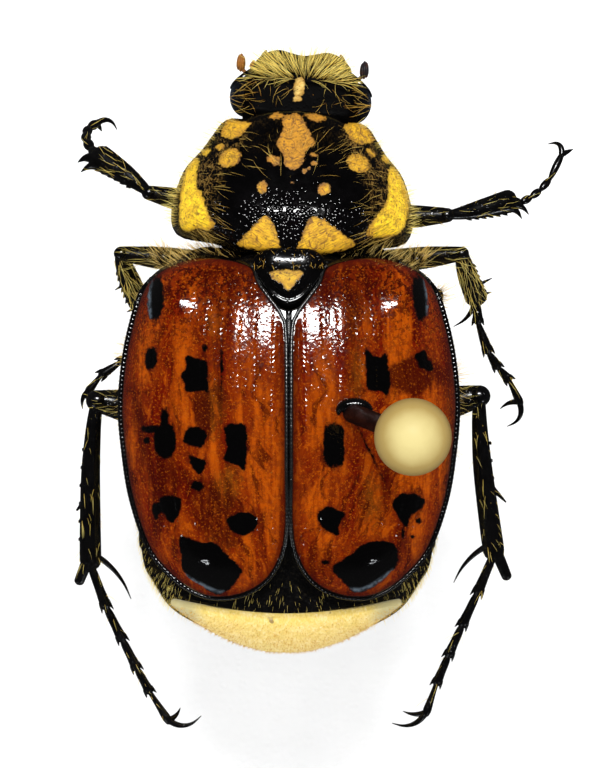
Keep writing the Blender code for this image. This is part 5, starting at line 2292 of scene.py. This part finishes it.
@dataclass
class HindBody:
    """The thorax behind the prothorax, the abdomen with its overlapping plates, and the pygidium.

    Fields: the wing cases above it; where the thorax begins and ends along the body, and its depth; the
    same of the abdomen, with its number of plates, the half width of its belly and the height of its back;
    how far its rear end lies to one side, its slope, the bend of the pygidium's edge, the sag of the last
    rings towards the rear, and the points round a ring.
    """

    cases: WingCases
    thorax_ends: Spot = (3.62, -1.62)
    thorax_depths: Curve1D = Curve1D(((3.62, 2.05), (2.6, 2.45), (0.0, 2.62), (-1.6, 2.55)))
    abdomen_ends: Spot = (-1.6, -5.54)
    plates: int = 6
    depths: Curve1D = Curve1D(((-1.6, 2.5), (-3.5, 2.46), (-4.6, 2.26), (-5.5, 1.95)))
    sides: Curve1D = Curve1D((
        (-1.6, 3.9), (-3.0, 3.78), (-3.9, 3.7), (-4.3, 3.64), (-4.8, 3.5), (-5.2, 3.22), (-5.54, 2.9),
    ))
    backs: Curve1D = Curve1D((
        (-1.6, 1.1), (-3.0, 0.8), (-3.9, 0.4), (-4.4, 0.12), (-4.8, 0.0), (-5.5, -0.12),
    ))
    shift: float = -0.07
    slope: float = 0.45
    bend: float = 0.035
    sag: float = 0.047
    around: int = 160

    def ring(
        self, y: float, side: float, back_half: float, back: float, depth: float, lean: float = 0.0,
        bend: float = 0.0, shift: float = 0.0,
    ) -> Array:
        """One cross-section: a low dome under the wing cases over a wider, deeper belly.

        Args:
            y: Its place along the body.
            side: The half width of the belly.
            back_half: The half width of the dome.
            back: The height of the dome.
            depth: The depth of the belly.
            lean: How far it leans forwards, as a share of its height.
            bend: How far its sides reach forwards.
            shift: How far it lies to the right.

        Returns:
            Its points.
        """
        upper = int(self.around * 0.4)
        a = math.pi * np.arange(upper) / (upper - 1)
        c, s = np.cos(a), np.sin(a)
        foot = LEDGE + 0.03
        across, high = back_half * np.sign(c) * np.abs(c) ** (2 / 2.6), foot + (back - foot) * s ** (2 / 2.3)
        lower = self.around - upper
        a = math.pi * (1 + np.arange(lower) / (lower - 1))
        c, s = np.cos(a), np.sin(a)
        x = np.concatenate([across, side * np.sign(c) * np.abs(c) ** (2 / 2.5)])
        z = np.concatenate([high, LEDGE - (depth + LEDGE) * np.abs(s)])
        return np.stack([x + shift, y + lean * z + bend * x * x, z], axis=1)

    def build(self) -> tuple[Piece, Piece, Piece]:
        """Makes the hind body.

        Returns:
            The thorax, the abdomen and the pygidium, which carry hair.
        """
        made = self.thorax(), self.abdomen(), self.pygidium()
        self.scutellum()
        log.info("hind body")
        return made

    def thorax(self) -> Piece:
        """Makes the middle and hind thorax, with the hips of the middle and hind legs.

        Returns:
            The piece.
        """
        rings = []
        for y in np.linspace(*self.thorax_ends, 70):
            end = float(ease(y, 3.25, 3.62))
            side = float(self.cases.half_widths(y)) + 0.35 * float(ease(y, 3.0, 3.62))
            back = float(self.cases.crowns(y)) - 0.55 - 0.35 * end
            groove = sum(0.05 * math.exp(-(((y - at) / 0.05) ** 2)) for at in (1.95, -0.25))
            depth = float(self.thorax_depths(y)) - 0.5 * end - groove
            rings.append(self.ring(y, side - 0.16 - 0.3 * end, side - 0.8 - 0.4 * end, back, depth))
        rings = np.array(rings)
        below = rings[..., 2] < LEDGE - 0.9
        x, y = rings[..., 0], rings[..., 1]
        keel = 0.07 * np.exp(-((x / 0.06) ** 2)) * ((y < 1.8) & (y > -0.3))
        rings[..., 2] += np.where(below, keel, 0)
        flank = (rings[..., 2] < LEDGE + 0.1) & (np.abs(x) > 1.5)
        collar = y > 3.1
        growth = 0.8 * flank + 0.3 * (below & ~flank) + 0.9 * collar * (np.abs(x) > 0.9)
        comb = unit(np.stack([np.sign(x) * 0.6, -0.7 + 1.2 * collar, -0.4 + 0 * x], axis=2))
        draft = Draft("thorax_plates")
        draft.add_rings(rings, growth=np.clip(growth, 0, 1), comb=comb, unwrap=ring_unwrap(rings))
        for s in (1, -1):
            draft.add_ellipsoid((s * 0.85, 2.95, -2.0), (0.6, 0.5, 0.52), Euler((0, 0, s * 0.3)), 36)
            hip = Euler((0, 0, s * 0.06))
            draft.add_ellipsoid((s * 1.55, -0.92, -2.05), (1.42, 0.56, 0.6), hip, 44, growth=0.4)
            tilt, way = Euler((0.2, 0, -s * 0.5)), (s * 0.8, 0.5, 0.2)
            draft.add_ellipsoid((s * 2.3, 3.2, 0.35), (0.62, 0.34, 0.5), tilt, 32, growth=1.5, comb=way)
        draft.add_ellipsoid((0, 2.6, -2.3), (0.22, 0.85, 0.28), None, 28)
        for middle, way in (
            ((-3.92, 0.95, -0.75), (-0.9, 0.3, 0.3)), ((4.04, 0.45, -0.75), (0.9, 0.2, 0.3)),
            ((3.72, 2.4, -0.6), (0.9, 0.4, 0.3)), ((-3.15, 3.35, -0.3), (-0.5, 0.8, 0.3)),
            ((3.2, 3.3, -0.3), (0.5, 0.8, 0.3)),
        ):
            draft.add_ellipsoid(middle, (0.16, 0.2, 0.16), None, 16, growth=4.5, comb=way)
        return draft.finish(PLATES, Slot.BLACK_PLATE, "thorax")

    def abdomen(self) -> Piece:
        """Makes the belly plates, each a step over the next, and the last plate of the back.

        Returns:
            The piece.
        """
        front, rear = self.abdomen_ends
        rings = []
        for y in np.linspace(front, rear, 150):
            run = (y - front) / (rear - front)
            slant = float(ease(-y, 2.4, 5.28))
            side, back, depth = (float(curve(y)) for curve in (self.sides, self.backs, self.depths))
            part = (run * self.plates) % 1.0
            step = 0.075 * (part - float(ease(part, 0.88, 1.0)))
            inset = 0.65 - 0.35 * float(ease(-y, 4.3, 5.0))
            end = float(ease(run, 0.955, 1.0))
            rings.append(self.ring(
                y, side + 0.6 * step - 0.34 * end, side - inset - 0.1 * end, back - 0.06 * end,
                depth + step - 0.3 * end, self.slope * slant, self.sag * slant, self.shift * run,
            ))
        rings = np.array(rings)
        x, y, z = rings[..., 0], rings[..., 1], rings[..., 2]
        flank = ease(np.abs(x), 2.4, 3.2)
        back = z > LEDGE - 0.05
        growth = np.where(back, 0.25 * ease(-y, 4.6, 5.1) + 1.3 * flank, 1.2 * flank + 0.12)
        disc = back * ease(-y, 4.2, 4.6) * (1 - ease(np.abs(x), 1.3, 2.0)) * (1 - ease(-y, 5.15, 5.4))
        comb = unit(np.stack([np.sign(x) * 0.25, -1.0 + 0 * x, -0.15 + 0 * x], axis=2))
        draft = Draft("abdomen_plates")
        draft.add_rings(rings, growth=growth, comb=comb, disc=disc, unwrap=ring_unwrap(rings))
        return draft.finish(BACK_PLATE, Slot.BLACK_PLATE, "abdomen")

    def pygidium(self) -> Piece:
        """Makes the pale sloping plate that closes the rear.

        Returns:
            The piece.
        """
        half = (
            (0.0, -0.12), (1.4, -0.06), (2.3, 0.05), (2.86, 0.1), (2.8, -0.1), (2.52, -0.52),
            (1.98, -1.18), (1.4, -1.71), (0.67, -2.13), (0.0, -2.22),
        )
        rows = 56
        plate = Plate(
            mirrored_loop(half, 200),
            lambda x, y: -self.bend * x * x,
            lambda x, y: 0.3 - 0.06 * x * x,
            lambda x, y: -0.22 - self.bend * x * x,
            (1.0, 0.3), (2.0, 3.0), (0.0, -0.85),
        )
        rings, away = plate.rings(rows, 14)
        outward = Vector((0, -1, self.slope)).normalized()
        top_edge = Vector((self.shift, -5.28 - 0.1 * self.slope, -0.1))
        tilt = Matrix.Rotation(math.atan2(1.0, self.slope), 4, "X")
        at = Matrix.Translation(top_edge + outward * 0.3) @ tilt
        x, y = rings[..., 0], rings[..., 1]
        growth = np.where(np.arange(len(rings))[:, None] < rows, 0.75 + 0.25 * (away < 0.25), 0.0)
        comb = unit(np.stack([x * 0.25, -1 + 0 * x, 0 * x], axis=2)) @ np.array(at)[:3, :3].T
        corner = ease(np.abs(x), 1.9, 2.5) * ease(y, -0.75, -0.3)
        unwrap = np.stack([x / 5.8 + 0.5, y / 2.6 + 0.9, 0 * x], axis=2)
        draft = Draft("pygidium_plate")
        draft.add_rings(rings, growth=growth, comb=comb, corner=corner, unwrap=unwrap)
        return draft.finish(PYGIDIUM, Slot.PYGIDIUM, "pygidium", at=at)

    def scutellum(self) -> None:
        """Makes the shield between the roots of the wing cases, and the plate in front of it."""
        half = ((0.0, 3.56), (0.5, 3.56), (0.88, 3.3), (0.82, 2.84), (0.62, 2.46), (0.36, 2.2), (0.0, 2.08))
        rows = 60
        plate = Plate(
            mirrored_loop(half, 140),
            lambda x, y: 1.42 + 0 * x,
            lambda x, y: 1.6 - 0.1 * x * x,
            lambda x, y: 0.85 + 0 * x,
            (0.5, 0.3), (2.0, 3.0), (0.0, 2.75),
        )
        rings, away = plate.rings(rows, 10)
        upper = np.arange(len(rings)) < rows
        groove = 0.055 * np.exp(-(((away - 0.26) / 0.09) ** 2)) * ease(-rings[..., 1], -2.85, -2.5)
        rings[..., 2] -= groove * upper[:, None]
        patch = marked(in_photo(rings.reshape(-1, 3)), SHIELD_PATCHES).reshape(away.shape)
        patch[~upper] = 1.0
        x, y = rings[..., 0], rings[..., 1]
        draft = Draft("scutellum_shield")
        draft.add_rings(
            rings, patch=patch, growth=ease(y, 3.08, 3.16) * upper[:, None] * (away > 0.02),
            comb=np.broadcast_to((0.0, -1.0, 0.0), rings.shape),
            unwrap=np.stack([x / 2 + 0.5, y / 2 - 0.9, 0 * x], axis=2),
        )
        piece = draft.finish(SHIELD, Slot.BLACK_PLATE, "scutellum")
        Coat(97).grow("scutellum_hair", piece, HairKind(AMBER_HAIR, 0.2, 0.08, 0.012, 70, 0.4, 0.9, 0.4))
        slope = Draft("mesonotum")
        slope.add_ellipsoid((0.0, 3.1, 0.95), (1.6, 0.4, 0.42), None, 48)
        slope.finish(PLATES, Slot.BLACK_PLATE)


# Legs


@dataclass
class Leg:
    """One leg from its hip to its claws. Its points are places of the plan, which hung puts in space.

    Fields: its name; the places of its hip, knee, ankle and foot joints; the tips of its claws, each with
    its bow; its spurs, as share of the shin, tip, widths at the root and the tip, and bow; the width of its
    thigh; those of its shin at both ends; that of its foot; how wide the root of a foot joint is; whether
    its foot joints are beads; and how hairy it is.
    """

    name: str
    hip: Place
    knee: Place
    ankle: Place
    toes: tuple[Place, ...]
    claws: tuple[tuple[Place, float], ...]
    spikes: tuple[tuple[float, Place, float, float, float], ...]
    femur: float
    tibia: Spot
    foot: float = 0.27
    base: float = 0.5
    beads: bool = False
    hairy: float = 1.0

    @property
    def stout(self) -> bool:
        """Whether it is a hind leg, with a thick thigh and a slimmer shin."""
        return self.femur > 0.8

    def build(self) -> Piece:
        """Makes the leg.

        Returns:
            The leg, which carries hair.
        """
        hip, knee, ankle = hung(self.hip), hung(self.knee), hung(self.ankle)
        draft = Draft(f"{self.name}_limb")
        self.thigh(draft, hip, knee)
        self.shin(draft, knee, ankle)
        self.tarsus(draft, [ankle, *(hung(p) for p in self.toes)])
        piece = draft.finish(LEG_SKIN, Slot.LEG, self.name)
        log.info("%s", self.name)
        return piece

    def part(self, draft: Draft, rings: Array, low: float, high: float, hair: float) -> None:
        """Adds a jointless part, with its own strip of the leg's unwrap and its own share of hair.

        Args:
            draft: The leg.
            rings: The part's rings.
            low: Where its strip of the unwrap begins.
            high: Where that ends.
            hair: How thickly hair grows on it.
        """
        along = unit(np.gradient(rings.mean(1), axis=0))
        comb = np.broadcast_to(along[:, None, :], rings.shape)
        rows = np.linspace(0, 1, len(rings))
        thick = hair * ease(rows, 0.06, 0.2) * ease(1 - rows, 0.03, 0.1)
        growth = np.broadcast_to(thick[:, None], rings.shape[:2])
        draft.add_rings(rings, growth=growth, comb=comb, unwrap=ring_unwrap(rings, low, high))

    def thigh(self, draft: Draft, hip: Array, knee: Array) -> None:
        """Adds the thigh, the small ring joint at its root and the knob of the knee.

        Args:
            draft: The leg.
            hip: The place of the hip.
            knee: The place of the knee.
        """
        profile = ((0.0, 0.42), (0.08, 0.6), (0.2, 0.82), (0.45, 1.0), (0.72, 0.94), (0.9, 0.74), (1.0, 0.6))
        stations = [(hip + (knee - hip) * s, self.femur * w, self.femur * w * 0.66) for s, w in profile]
        self.part(draft, station_tube(stations, 32, 6), 0.0, 0.36, 1.0)
        draft.add_ellipsoid(hip + (knee - hip) * 0.06, [self.femur * w for w in (0.4, 0.34, 0.3)], None, 24)
        draft.add_ellipsoid(knee, [self.femur * w for w in (0.31, 0.3, 0.26)], None, 22)

    def shin(self, draft: Draft, knee: Array, ankle: Array) -> None:
        """Adds the shin with its spurs and its row of small teeth.

        Args:
            draft: The leg.
            knee: The place of the knee.
            ankle: The place of the ankle.
        """
        thin, wide = self.tibia
        way = ankle - knee
        side = unit(np.cross(way, (0, 0, 1)))
        bow = 0.05 * np.linalg.norm(way)
        profile = (
            (-0.03, 0.7, 0.0), (0.05, 1.0, 0.3), (0.2, 1.14, 0.8), (0.45, 1.24, 1.0), (0.75, 1.2, 0.5),
            (0.96, 1.14, 0.0), (1.0, 1.0, 0.0),
        )
        stations = []
        for s, w, b in profile:
            width = (thin + (wide - thin) * max(s, 0.0)) * w * (0.7 + 0.18 * s if self.stout else 0.86)
            stations.append((knee + way * s + side * bow * b * 0.4, width, max(width * 0.62, 0.2)))
        self.part(draft, station_tube(stations, 28, 6), 0.38, 0.7, 0.6 * self.hairy)
        out = side if np.dot(side, knee - hung(self.hip)) > 0 else -side
        for share, tip, thick, blunt, curve in self.spikes:
            root = knee + way * (share - 0.07) + out * (0.1 if self.beads else 0.0)
            self.horn(draft, root, hung(tip), thick, blunt, curve, 0.7)
        reach = 0.45 if self.stout else 1.0
        for share in 0.3 + 0.11 * np.arange(6):
            bowed = side * bow * 0.4 * math.sin(math.pi * share)
            root = knee + way * share + out * (thin + (wide - thin) * share) * 0.45 + bowed
            self.horn(draft, root, root + (out * 0.07 + unit(way) * 0.09) * reach, 0.1, 0.02, 0.0, 0.72)

    def horn(
        self, draft: Draft, root: Array, tip: Array, thick: float, blunt: float, curve: float, low: float,
    ) -> None:
        """Adds a tapering spine, spur, tooth or claw.

        Args:
            draft: The leg.
            root: Its root.
            tip: Its tip.
            thick: Its width at the root.
            blunt: Its width at the tip.
            curve: How far it bows towards its right, as a share of its length.
            low: Its place in the leg's unwrap.
        """
        way = tip - root
        bulge = np.cross(way, (0, 0, 1)) * curve
        stations = []
        for s in (0.0, 0.25, 0.5, 0.75, 1.0):
            width = thick + (blunt - thick) * s**1.4
            place = root + way * s + bulge * (1 - (2 * s - 1) ** 2) + np.array([0, 0, 0.05 * s * (1 - s)])
            stations.append((place, width, width * 0.85))
        self.part(draft, station_tube(stations, 12, 4), low, low + 0.01, 0.0)

    def tarsus(self, draft: Draft, joints: list[Array]) -> None:
        """Adds the five joints of the foot, with a small tooth at each end corner, and the two claws.

        Args:
            draft: The leg.
            joints: The places of the ankle and of the end of each foot joint.
        """
        last = len(joints) - 2
        for k, (start, end) in enumerate(zip(joints, joints[1:])):
            way = end - start
            side = unit(np.cross(way, (0, 0, 1)))
            wide = self.foot * (1.0 - 0.03 * k)
            low = 0.74 + 0.045 * k
            if self.beads:
                profile = ((0.0, 0.6), (0.2, 0.92), (0.5, 1.1), (0.8, 0.95), (1.0, 0.6))
            elif k == last:
                profile = ((0.0, 0.6), (0.15, 0.6), (0.5, 0.78), (0.85, 1.0), (1.0, 0.85))
            else:
                root = ((0.0, self.base), (0.2, self.base + 0.2))
                profile = (*root, (0.55, 0.95), (0.82, 1.08), (0.94, 1.06), (1.0, 0.8))
            stations = [(start + way * (0.02 + 0.97 * s), wide * w, wide * w * 0.85) for s, w in profile]
            self.part(draft, station_tube(stations, 18, 4), low, low + 0.04, 0.35)
            if k == last or self.beads:
                continue
            for sign in (1, -1):
                root = start + way * 0.86 + side * sign * wide * 0.36
                tip = start + way + unit(way) * 0.09 + side * sign * wide * 0.62 - np.array([0, 0, 0.02])
                self.horn(draft, root, tip, 0.12, 0.02, 0.0, low)
        root = joints[-1] - unit(joints[-1] - joints[-2]) * 0.04
        for tip, curve in self.claws:
            self.horn(draft, root, hung(tip), 0.17, 0.02, curve, 0.97)


LEGS = (
    Leg(
        "foreleg_left", hip=(-0.75, 4.35, -1.95), knee=(-3.5, 4.98, -1.35), ankle=(-4.78, 5.9, -1.85),
        toes=(
            (-4.95, 6.08, -2.25), (-5.06, 6.28, -2.65), (-5.08, 6.45, -3.05), (-5.0, 6.6, -3.45),
            (-4.78, 6.74, -3.85),
        ),
        claws=(((-4.30, 6.56, -4.1), -0.3), ((-4.68, 6.52, -4.2), 0.0)),
        spikes=((1.0, (-5.28, 5.74, -1.95), 0.38, 0.02, 0.2), (0.86, (-5.2, 5.5, -1.85), 0.36, 0.02, 0.16)),
        femur=0.62, tibia=(0.28, 0.7), foot=0.26, hairy=1.5, beads=True,
    ),
    Leg(
        "foreleg_right", hip=(0.95, 4.3, -1.95), knee=(3.95, 4.42, -1.35), ankle=(5.55, 4.78, -1.8),
        toes=(
            (5.8, 4.74, -1.95), (6.05, 4.87, -2.05), (6.28, 5.05, -2.15), (6.52, 5.32, -2.25),
            (6.84, 5.98, -2.35),
        ),
        claws=(((6.48, 6.2, -2.45), 0.35), ((7.1, 6.07, -2.45), 0.0)),
        spikes=((0.88, (5.82, 4.33, -1.8), 0.32, 0.02, -0.2), (0.99, (5.99, 4.44, -1.9), 0.28, 0.02, -0.2)),
        femur=0.62, tibia=(0.26, 0.62), foot=0.2, hairy=1.3, beads=True,
    ),
    Leg(
        "midleg_left", hip=(-1.0, 3.1, -2.25), knee=(-4.2, 3.46, -1.6), ankle=(-3.72, 2.2, -2.9),
        toes=(
            (-3.52, 1.62, -3.1), (-3.72, 1.08, -3.2), (-4.22, 0.74, -3.25), (-4.7, 0.42, -3.3),
            (-5.03, 0.0, -3.35),
        ),
        claws=(((-5.16, -0.42, -3.5), 0.16), ((-4.88, -0.4, -3.5), 0.16)),
        spikes=((1.0, (-3.3, 1.85, -3.15), 0.15, 0.02, 0.1), (1.0, (-4.05, 2.0, -3.25), 0.15, 0.02, -0.1),
                (0.6, (-4.35, 2.55, -2.5), 0.14, 0.02, 0.0)),
        femur=0.6, tibia=(0.4, 0.6), foot=0.25, hairy=3.4,
    ),
    Leg(
        "midleg_right", hip=(1.05, 3.1, -2.25), knee=(4.32, 3.46, -1.6), ankle=(4.7, 2.3, -2.8),
        toes=(
            (4.72, 1.75, -2.9), (4.98, 1.0, -3.0), (5.22, 0.62, -3.1), (5.5, 0.3, -3.2),
            (5.78, -0.28, -3.3),
        ),
        claws=(((5.28, -0.42, -3.45), 0.12), ((5.45, -0.86, -3.5), -0.25)),
        spikes=((1.0, (5.06, 2.5, -2.9), 0.15, 0.02, 0.0), (0.8, (5.08, 2.85, -2.5), 0.14, 0.02, 0.0),
                (1.0, (4.12, 1.64, -3.0), 0.17, 0.02, -0.14)),
        femur=0.6, tibia=(0.4, 0.58), foot=0.25, hairy=3.4,
    ),
    Leg(
        "hindleg_left", hip=(-1.75, -0.75, -2.35), knee=(-4.8, -0.22, -1.75), ankle=(-4.97, -4.3, -2.55),
        toes=(
            (-4.56, -5.4, -2.7), (-4.16, -6.2, -2.8), (-3.8, -6.92, -2.9), (-3.48, -7.5, -3.0),
            (-3.0, -8.24, -3.05),
        ),
        claws=(((-2.2, -8.1, -3.15), 0.22), ((-2.72, -7.9, -3.25), 0.12)),
        spikes=((1.0, (-5.24, -4.72, -2.6), 0.32, 0.27, 0.0), (1.0, (-3.95, -5.17, -2.6), 0.17, 0.02, -0.1),
                (0.62, (-5.3, -2.95, -2.35), 0.2, 0.06, 0.0)),
        femur=0.92, tibia=(0.46, 0.56), foot=0.25, base=0.68,
    ),
    Leg(
        "hindleg_right", hip=(1.8, -0.75, -2.35), knee=(4.76, -0.1, -1.75), ankle=(5.12, -4.05, -2.55),
        toes=(
            (4.7, -5.05, -2.7), (4.32, -5.85, -2.8), (3.98, -6.6, -2.9), (3.68, -7.3, -3.0),
            (3.42, -8.05, -3.05),
        ),
        claws=(((2.58, -8.28, -3.15), -0.2), ((2.85, -7.98, -3.25), -0.1)),
        spikes=((1.0, (5.44, -4.6, -2.6), 0.32, 0.27, 0.0), (1.0, (4.12, -4.76, -2.6), 0.17, 0.02, 0.1),
                (0.62, (5.42, -2.75, -2.35), 0.18, 0.04, 0.0)),
        femur=0.92, tibia=(0.46, 0.56), foot=0.25, base=0.68,
    ),
)


# Pin and stand


@dataclass
class PinnedStand:
    """The pin with its round head, the torn lip where it enters, and the block that holds it.

    Fields: where its axis meets the wing case; the middle of its head; the radii of the pin and of its
    head; how high its point is over the floor; and the length of the point's taper.
    """

    entry: Place = (1.575, -0.525, 1.9)
    ball: Place = (2.888, -1.026, 11.2)
    radius: float = 0.25
    ball_radius: float = 0.9
    foot_above_floor: float = 1.2
    point: float = 0.9

    @property
    def way(self) -> Array:
        """The direction from the pin's point to its head."""
        return unit(np.array(self.ball) - np.array(self.entry))

    def along(self, z: float) -> Array:
        """The place on the pin's axis at height z of the body frame."""
        entry = np.array(self.entry)
        return entry + self.way * (z - entry[2]) / self.way[2]

    def build(self) -> None:
        """Makes the pin, its head, its lip in the wing case and the block's finish."""
        foot = self.along(self.foot_above_floor - BODY_LIFT)
        length = float(np.linalg.norm(np.array(self.ball) - foot))
        far = np.array([0.0, 0.2, 0.55, self.point, *np.linspace(self.point + 0.2, length, 60)])
        radii = np.array([0.03, 0.1, 0.19, *[self.radius * 0.96] * 61])
        shaft = Draft("pin_shaft")
        shaft.add_rings(swept(foot + self.way * far[:, None], radii * 2, radii * 2, 36, (0, 1, 0)))
        shaft.finish(ENAMEL, Slot.PIN_ENAMEL, "pin")
        head = Draft("pin_ball")
        head.add_ellipsoid(self.ball, [self.ball_radius] * 3, None, 72)
        head.finish(NYLON, Slot.PIN_HEAD, "pin_head")
        self.lip()
        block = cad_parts["stand_base"]
        block.visible_glossy = False
        for slot in block.material_slots:
            slot.material = FOAM.make()
        log.info("pin and stand")

    def lip(self) -> None:
        """Makes the swollen, torn fold of cuticle that the pin pushed up on its head side."""
        middle = np.array([1.62, -0.5, 1.93])
        widths = ((-8, 0.08), (22, 0.18), (55, 0.29), (90, 0.33), (125, 0.31), (158, 0.2), (190, 0.08))
        stations = []
        for turn, width in widths:
            c, s = math.cos(math.radians(turn)), math.sin(math.radians(turn))
            stations.append((middle + np.array([0.4 * c, 0.2 * s, 0.04 * s]), width, width * 0.9))
        rings = station_tube(stations, 28, 8)
        fold = 0.012 * np.sin(9 * np.arange(rings.shape[0]))[:, None, None]
        rings = rings + fold * unit(rings - rings.mean(1, keepdims=True))
        draft = Draft("pin_lip")
        draft.add_rings(rings)
        draft.finish(RIM, Slot.WING_CASE)


PINNED = PinnedStand()


# Studio


@dataclass
class Lamp:
    """A soft box: its direction from the beetle, size, strength on a facing surface, and tint."""

    name: str
    way: Place
    size: Spot
    strength: float
    tint: Colour = (1.0, 1.0, 1.0)
    distance: float = 0.24

    def build(self, target: Vector) -> None:
        """Makes the lamp.

        Args:
            target: What it faces, in metres.
        """
        light = bpy.data.lights.new(self.name, "AREA")
        light.shape = "RECTANGLE"
        light.size, light.size_y = self.size
        light.energy = self.strength * math.pi * self.distance**2
        light.color = self.tint
        made = bpy.data.objects.new(self.name, light)
        way = Vector(self.way).normalized()
        made.location = target + way * self.distance
        made.rotation_euler = way.to_track_quat("Z", "Y").to_euler()
        bpy.context.scene.collection.objects.link(made)


@dataclass
class Studio:
    """The floor, the lamps and the camera. Its numbers are the strengths of the surroundings: overhead and
    low down as they are mirrored, and as a fill."""

    zenith: float = 0.015
    horizon: float = 0.05
    fill: float = 1.03
    lamps: tuple[Lamp, ...] = (
        Lamp("key", (0.0, 0.35, 0.94), (0.066, 0.022), 1.7),
        Lamp("hind left", (-0.5, -0.75, 0.4), (0.05, 0.016), 0.2, (0.93, 0.97, 1.0)),
        Lamp("hind right", (0.5, -0.75, 0.4), (0.05, 0.016), 0.2, (0.93, 0.97, 1.0)),
    )

    def build(self) -> None:
        """Makes the studio."""
        scene = bpy.context.scene
        scene.view_settings.view_transform = "Standard"
        target = Vector((SIGHT[0], SIGHT[1], BODY_LIFT)) * MM
        for lamp in self.lamps:
            lamp.build(target)
        self.surroundings(scene)
        self.floor()
        camera = bpy.data.cameras.new("camera")
        camera.lens, camera.sensor_width = LENS, SENSOR
        camera.clip_start, camera.clip_end = 0.01, 10.0
        eye = bpy.data.objects.new("camera", camera)
        eye.location = Vector((SIGHT[0], SIGHT[1], SIGHT[2] + BODY_LIFT)) * MM
        scene.collection.objects.link(eye)
        scene.camera = eye
        log.info("studio")

    def surroundings(self, scene: bpy.types.Scene) -> None:
        """Makes a light tent: dark overhead in reflections, brighter low down, and an even soft fill.

        Args:
            scene: The scene.
        """
        world = bpy.data.worlds.new("studio")
        world.use_nodes = True
        bench = Bench(world.node_tree)
        background = world.node_tree.nodes["Background"]
        height = bench.split(bench.out("ShaderNodeTexCoord", port="Generated"), 2)
        mirrored = bench.between(height, 0.15, 0.55, self.horizon, self.zenith)
        glossy = bench.out("ShaderNodeLightPath", port="Is Glossy Ray")
        strength = bench.out("ShaderNodeMix", {0: glossy, 2: self.fill, 3: mirrored}, data_type="FLOAT")
        bench.feed(background.inputs["Color"], (1.0, 1.0, 1.0))
        bench.feed(background.inputs["Strength"], strength)
        scene.world = world

    @staticmethod
    def floor() -> None:
        """Makes the pale floor."""
        mesh = bpy.data.meshes.new("floor")
        reach = 1.5
        corners = [(x * reach, y * reach, 0) for x, y in ((-1, -1), (1, -1), (1, 1), (-1, 1))]
        mesh.from_pydata(corners, [], [(0, 1, 2, 3)])
        mesh.materials.append(FLOOR.make())
        made = in_scene("floor", mesh)
        made.visible_glossy = False


def main() -> None:
    """Builds every sub-assembly in order."""
    logging.basicConfig(level=logging.INFO, format="%(name)s: %(message)s")
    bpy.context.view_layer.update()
    Studio().build()
    cases = WingCases()
    cases.build()
    pronotum = Prothorax().build()
    skull = Head().build()
    thorax, abdomen, pygidium = HindBody(cases).build()
    legs = [leg.build() for leg in LEGS]
    PINNED.build()
    coat = Coat()
    for name, host, kind, ending in (
        ("pronotum_hair", pronotum, HairKind(BROWN_HAIR, 0.72, 0.25, 0.009, 210, 0.24, 0.42, 0.35), ""),
        ("pronotum_fringe", pronotum, HairKind(PALE_HAIR, 0.42, 0.12, 0.011, 260, 0.35, 0.5, 0.2), "_rim"),
        ("head_hair", skull, HairKind(PALE_HAIR, 0.6, 0.25, 0.016, 460, 0.24, 0.34, 0.16), ""),
        ("brow_hair", skull, HairKind(AMBER_HAIR, 0.75, 0.3, 0.011, 32, 0.36, 0.75, 0.45, 6), "_brow"),
        ("thorax_hair", thorax, HairKind(GOLD_HAIR, 0.6, 0.25, 0.014, 44, 0.45, 0.45, 0.25), ""),
        ("abdomen_hair", abdomen, HairKind(PALE_HAIR, 0.22, 0.1, 0.008, 150, 0.15, 0.2, 0.1), ""),
        ("pygidium_nap", pygidium, HairKind(NAP_HAIR, 0.14, 0.07, 0.012, 260, 0.2, 0.3, 0.15, 2), ""),
    ):
        coat.grow(name, host, kind, ending)
    for leg, piece in zip(LEGS, legs):
        longest, density = 0.38 + 0.07 * leg.hairy, 16 + 8 * leg.hairy
        kind = HairKind(PALE_HAIR, longest, 0.16, 0.012, density, 0.32, 0.4, 0.2)
        coat.grow(f"{leg.name}_hair", piece, kind)


if __name__ == "__main__":
    main()
